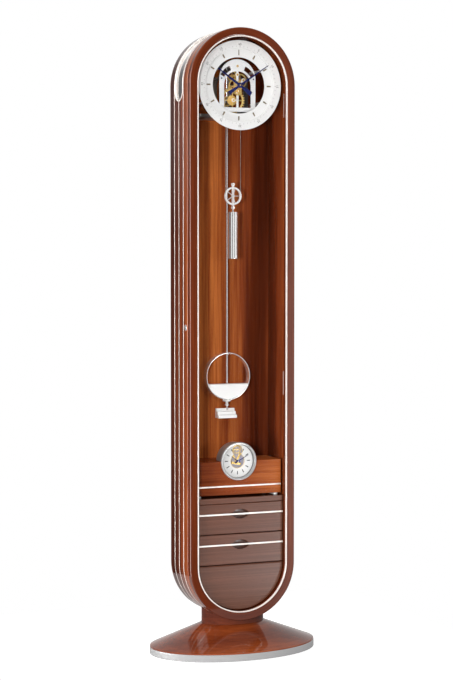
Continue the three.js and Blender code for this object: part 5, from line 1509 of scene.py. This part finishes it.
wheelSpot = (0, (wheelLow[2] + wheelHigh[2]) / 2)
rim = [circle(balanceRadius, 72), *spokeWindows(3.5 * mm, balanceRadius - 2 * mm, 2, 2 * mm)]
parts = [
    flatPlate(rim, wheelLow[1] + 0.5 * mm, wheelHigh[1] - 0.5 * mm, 0.3 * mm, 1, 0, wheelSpot),
    collar(1.5 * mm, 3 * mm, wheelLow[1], wheelHigh[1], 0.2 * mm, wheelSpot, 32)]
place(joined(*parts), "shelf_clock_balance", "balance", brass, "balance_wheel")
behind = wheelHigh[1] + 1.5 * mm
front, rear = behind + 3 * mm, clockHigh[1] - 3.2 * mm
backPlate = flatPlate([circle(shelf["plate"] * mm, 96)], front, rear, 0.4 * mm, 2, 0, shelfCentre)
place(backPlate, "shelf_clock_plate", "case", lilac)
bridges = []
for first, last, wide in (((0, -2), (-15, 24), 6), ((0, -2), (15, 24), 6), ((-16, -6), (16, -12), 8)):
    strip = bar(np.array(first) * mm, np.array(last) * mm, wide * mm)
    bridges.append(flatPlate([strip], behind, behind + 3.2 * mm, 0.4 * mm, 2, 0, shelfCentre))
place(joined(*bridges), "shelf_clock_bridges", "case", brass)

# solids that no piece stands for keep their own mesh and take a plain finish
plainParts = ("seat_board", "anchor", "suspension_cock", "lock_strike")
for name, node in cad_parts.items():
    node.data.materials.clear()
    node.data.materials.append(steel if name in plainParts else polished)
print("shelf clock made")


# studio: world, lamps, floor and camera
studio = {
    "fill": 0.31, "fillTilt": 0.6, "around": 0.85,
    "ahead": (0.384, -0.92, -0.06), "aheadDark": 0.06, "aheadRight": 1.1, "rightFrom": 0.4,
    "rightOver": 0.056, "leftStrip": (-0.99, 0.14, 0), "leftBright": 15.0,
    "slit": (-0.5, -0.866, 0.02), "slitDark": 0.04,
    "cardEdge": 0.48, "cardTop": 0.12, "cardEnd": 0.7, "card": 16.0,
    "side": (-0.376, 0.923, -0.05), "sideGrey": 0.05, "sideHigh": 0.19, "floorSize": 0.8, "floorGlow": 0.8,
    "key": {"spot": (2.25, -5.2, 1.4), "size": (0.3, 0.45), "power": 30},
    "left": {"spot": (-2.4, -3.7, 1.25), "size": (0.3, 0.5), "power": 94},
    "low": {"spot": (-1.9, -0.9, 0.55), "size": (0.5, 0.7), "power": 32},
    "top": {"spot": (-0.6, -1.6, 3.6), "size": (1.4, 1.4), "power": 20},
}


def studioWorld():
    # white behind the object and plain fill light on it, less of it from below; mirror-like surfaces see a
    # pale room that is dark ahead and paler to the right, with a bright card low on the right, a bright strip
    # on the left with a dark gap beside it, and dim behind on the left
    world = bpy.data.worlds.new("studio")
    paint = Paint("studio", {"Color": (1, 1, 1, 1)}, world)
    path = paint.add("ShaderNodeLightPath")
    rays = [path.socket.node.outputs["Is %s Ray" % kind] for kind in ("Camera", "Glossy", "Transmission")]
    camera, glossy, through = [Wire(paint, ray) for ray in rays]
    aim = paint.add("ShaderNodeTexCoord", pick=0)
    x, y, z = paint.split(aim)

    def near(way, least, sharp):
        # one inside a cone about a direction, falling to nought at its edge
        dot = paint.add("ShaderNodeVectorMath", {"operation": "DOT_PRODUCT"}, aim, way, pick=1)
        return ((dot - least) * sharp).clip()

    across = x / (y * -1)
    right = ((across - studio["rightFrom"]) / studio["rightOver"]).clip() * ((z * -1 + 0.14) * 6).clip()
    ahead = right * studio["aheadRight"] + studio["aheadDark"]
    forward = near(studio["ahead"], 0.95, 60)
    card = ((across - studio["cardEdge"]) * 60).clip() * ((across * -1 + studio["cardEnd"]) * 20).clip()
    card = card * ((z * -1 - studio["cardTop"]) * 14).clip() * ((y * -1 - 0.5) * 20).clip()
    room = paint.blend(forward, studio["around"], ahead) + card * studio["card"]
    behind = ((z - 0.01) * 20).clip() * studio["sideHigh"] + studio["sideGrey"]
    room = paint.blend(near(studio["leftStrip"], 0.84, 12), room, studio["leftBright"])
    room = paint.blend(near(studio["side"], 0.84, 9), room, behind)
    room = paint.blend(near(studio["slit"], 0.975, 60), room, studio["slitDark"])
    strength = paint.blend(glossy, (z * studio["fillTilt"] + 1) * studio["fill"], room)
    shown = (camera + through).clip()
    paint.tree.links.new(paint.blend(shown, strength, 1.0).socket, paint.shader.inputs["Strength"])
    bpy.context.scene.world = world


studioWorld()


def softLight(name, spot, target, size, power):
    # a rectangular lamp aimed at the target, not seen in mirrors
    lamp = bpy.data.lights.new(name, "AREA")
    lamp.shape, lamp.size, lamp.size_y, lamp.energy = "RECTANGLE", size[0], size[1], power
    holder = bpy.data.objects.new(name, lamp)
    bpy.context.scene.collection.objects.link(holder)
    holder.location = spot
    holder.visible_glossy = False
    holder.rotation_euler = (Vector(target) - Vector(spot)).to_track_quat("-Z", "Y").to_euler()
    return holder


for name in ("key", "left", "low", "top"):
    lamp = studio[name]
    softLight(name + "_light", lamp["spot"], (0, 0, 1.0), lamp["size"], lamp["power"])


def floorLook():
    # pale floor; straight to the camera it glows enough to reach white outside the object's shadow
    paint = Paint("studio_floor", {
        "Base Color": (0.8, 0.8, 0.8, 1), "Roughness": 0.9, "Specular IOR Level": 0.0,
        "Emission Strength": studio["floorGlow"]})
    path = paint.add("ShaderNodeLightPath")
    return paint.feed(emissionColor=paint.mix(path, (0.0, 0.0, 0.0), (1.0, 1.0, 1.0)))


reach = studio["floorSize"]
corners = [[[-reach, -reach, 0], [reach, -reach, 0]], [[-reach, reach, 0], [reach, reach, 0]]]
floorForm = Form().patch(np.array(corners, float))
floorMesh = floorForm.mesh("studio_floor")
floorMesh.materials.append(floorLook())
floor = bpy.data.objects.new("studio_floor", floorMesh)
bpy.context.scene.collection.objects.link(floor)

camera = {
    "lens": 93.81, "azimuth": -22.429, "elevation": 2.856, "distance": 5.7119, "aim": (-0.0208, 0.0, 1.0083),
}
a, e = math.radians(camera["azimuth"]), math.radians(camera["elevation"])
back = Vector((math.sin(a) * math.cos(e), -math.cos(a) * math.cos(e), math.sin(e)))
eye = bpy.data.objects.new("camera", bpy.data.cameras.new("camera"))
bpy.context.scene.collection.objects.link(eye)
eye.data.lens = camera["lens"]
eye.location = Vector(camera["aim"]) + back * camera["distance"]
eye.rotation_euler = (-back).to_track_quat("-Z", "Y").to_euler()
bpy.context.scene.camera = eye
bpy.context.scene.view_settings.view_transform = "Standard"
print("studio made")
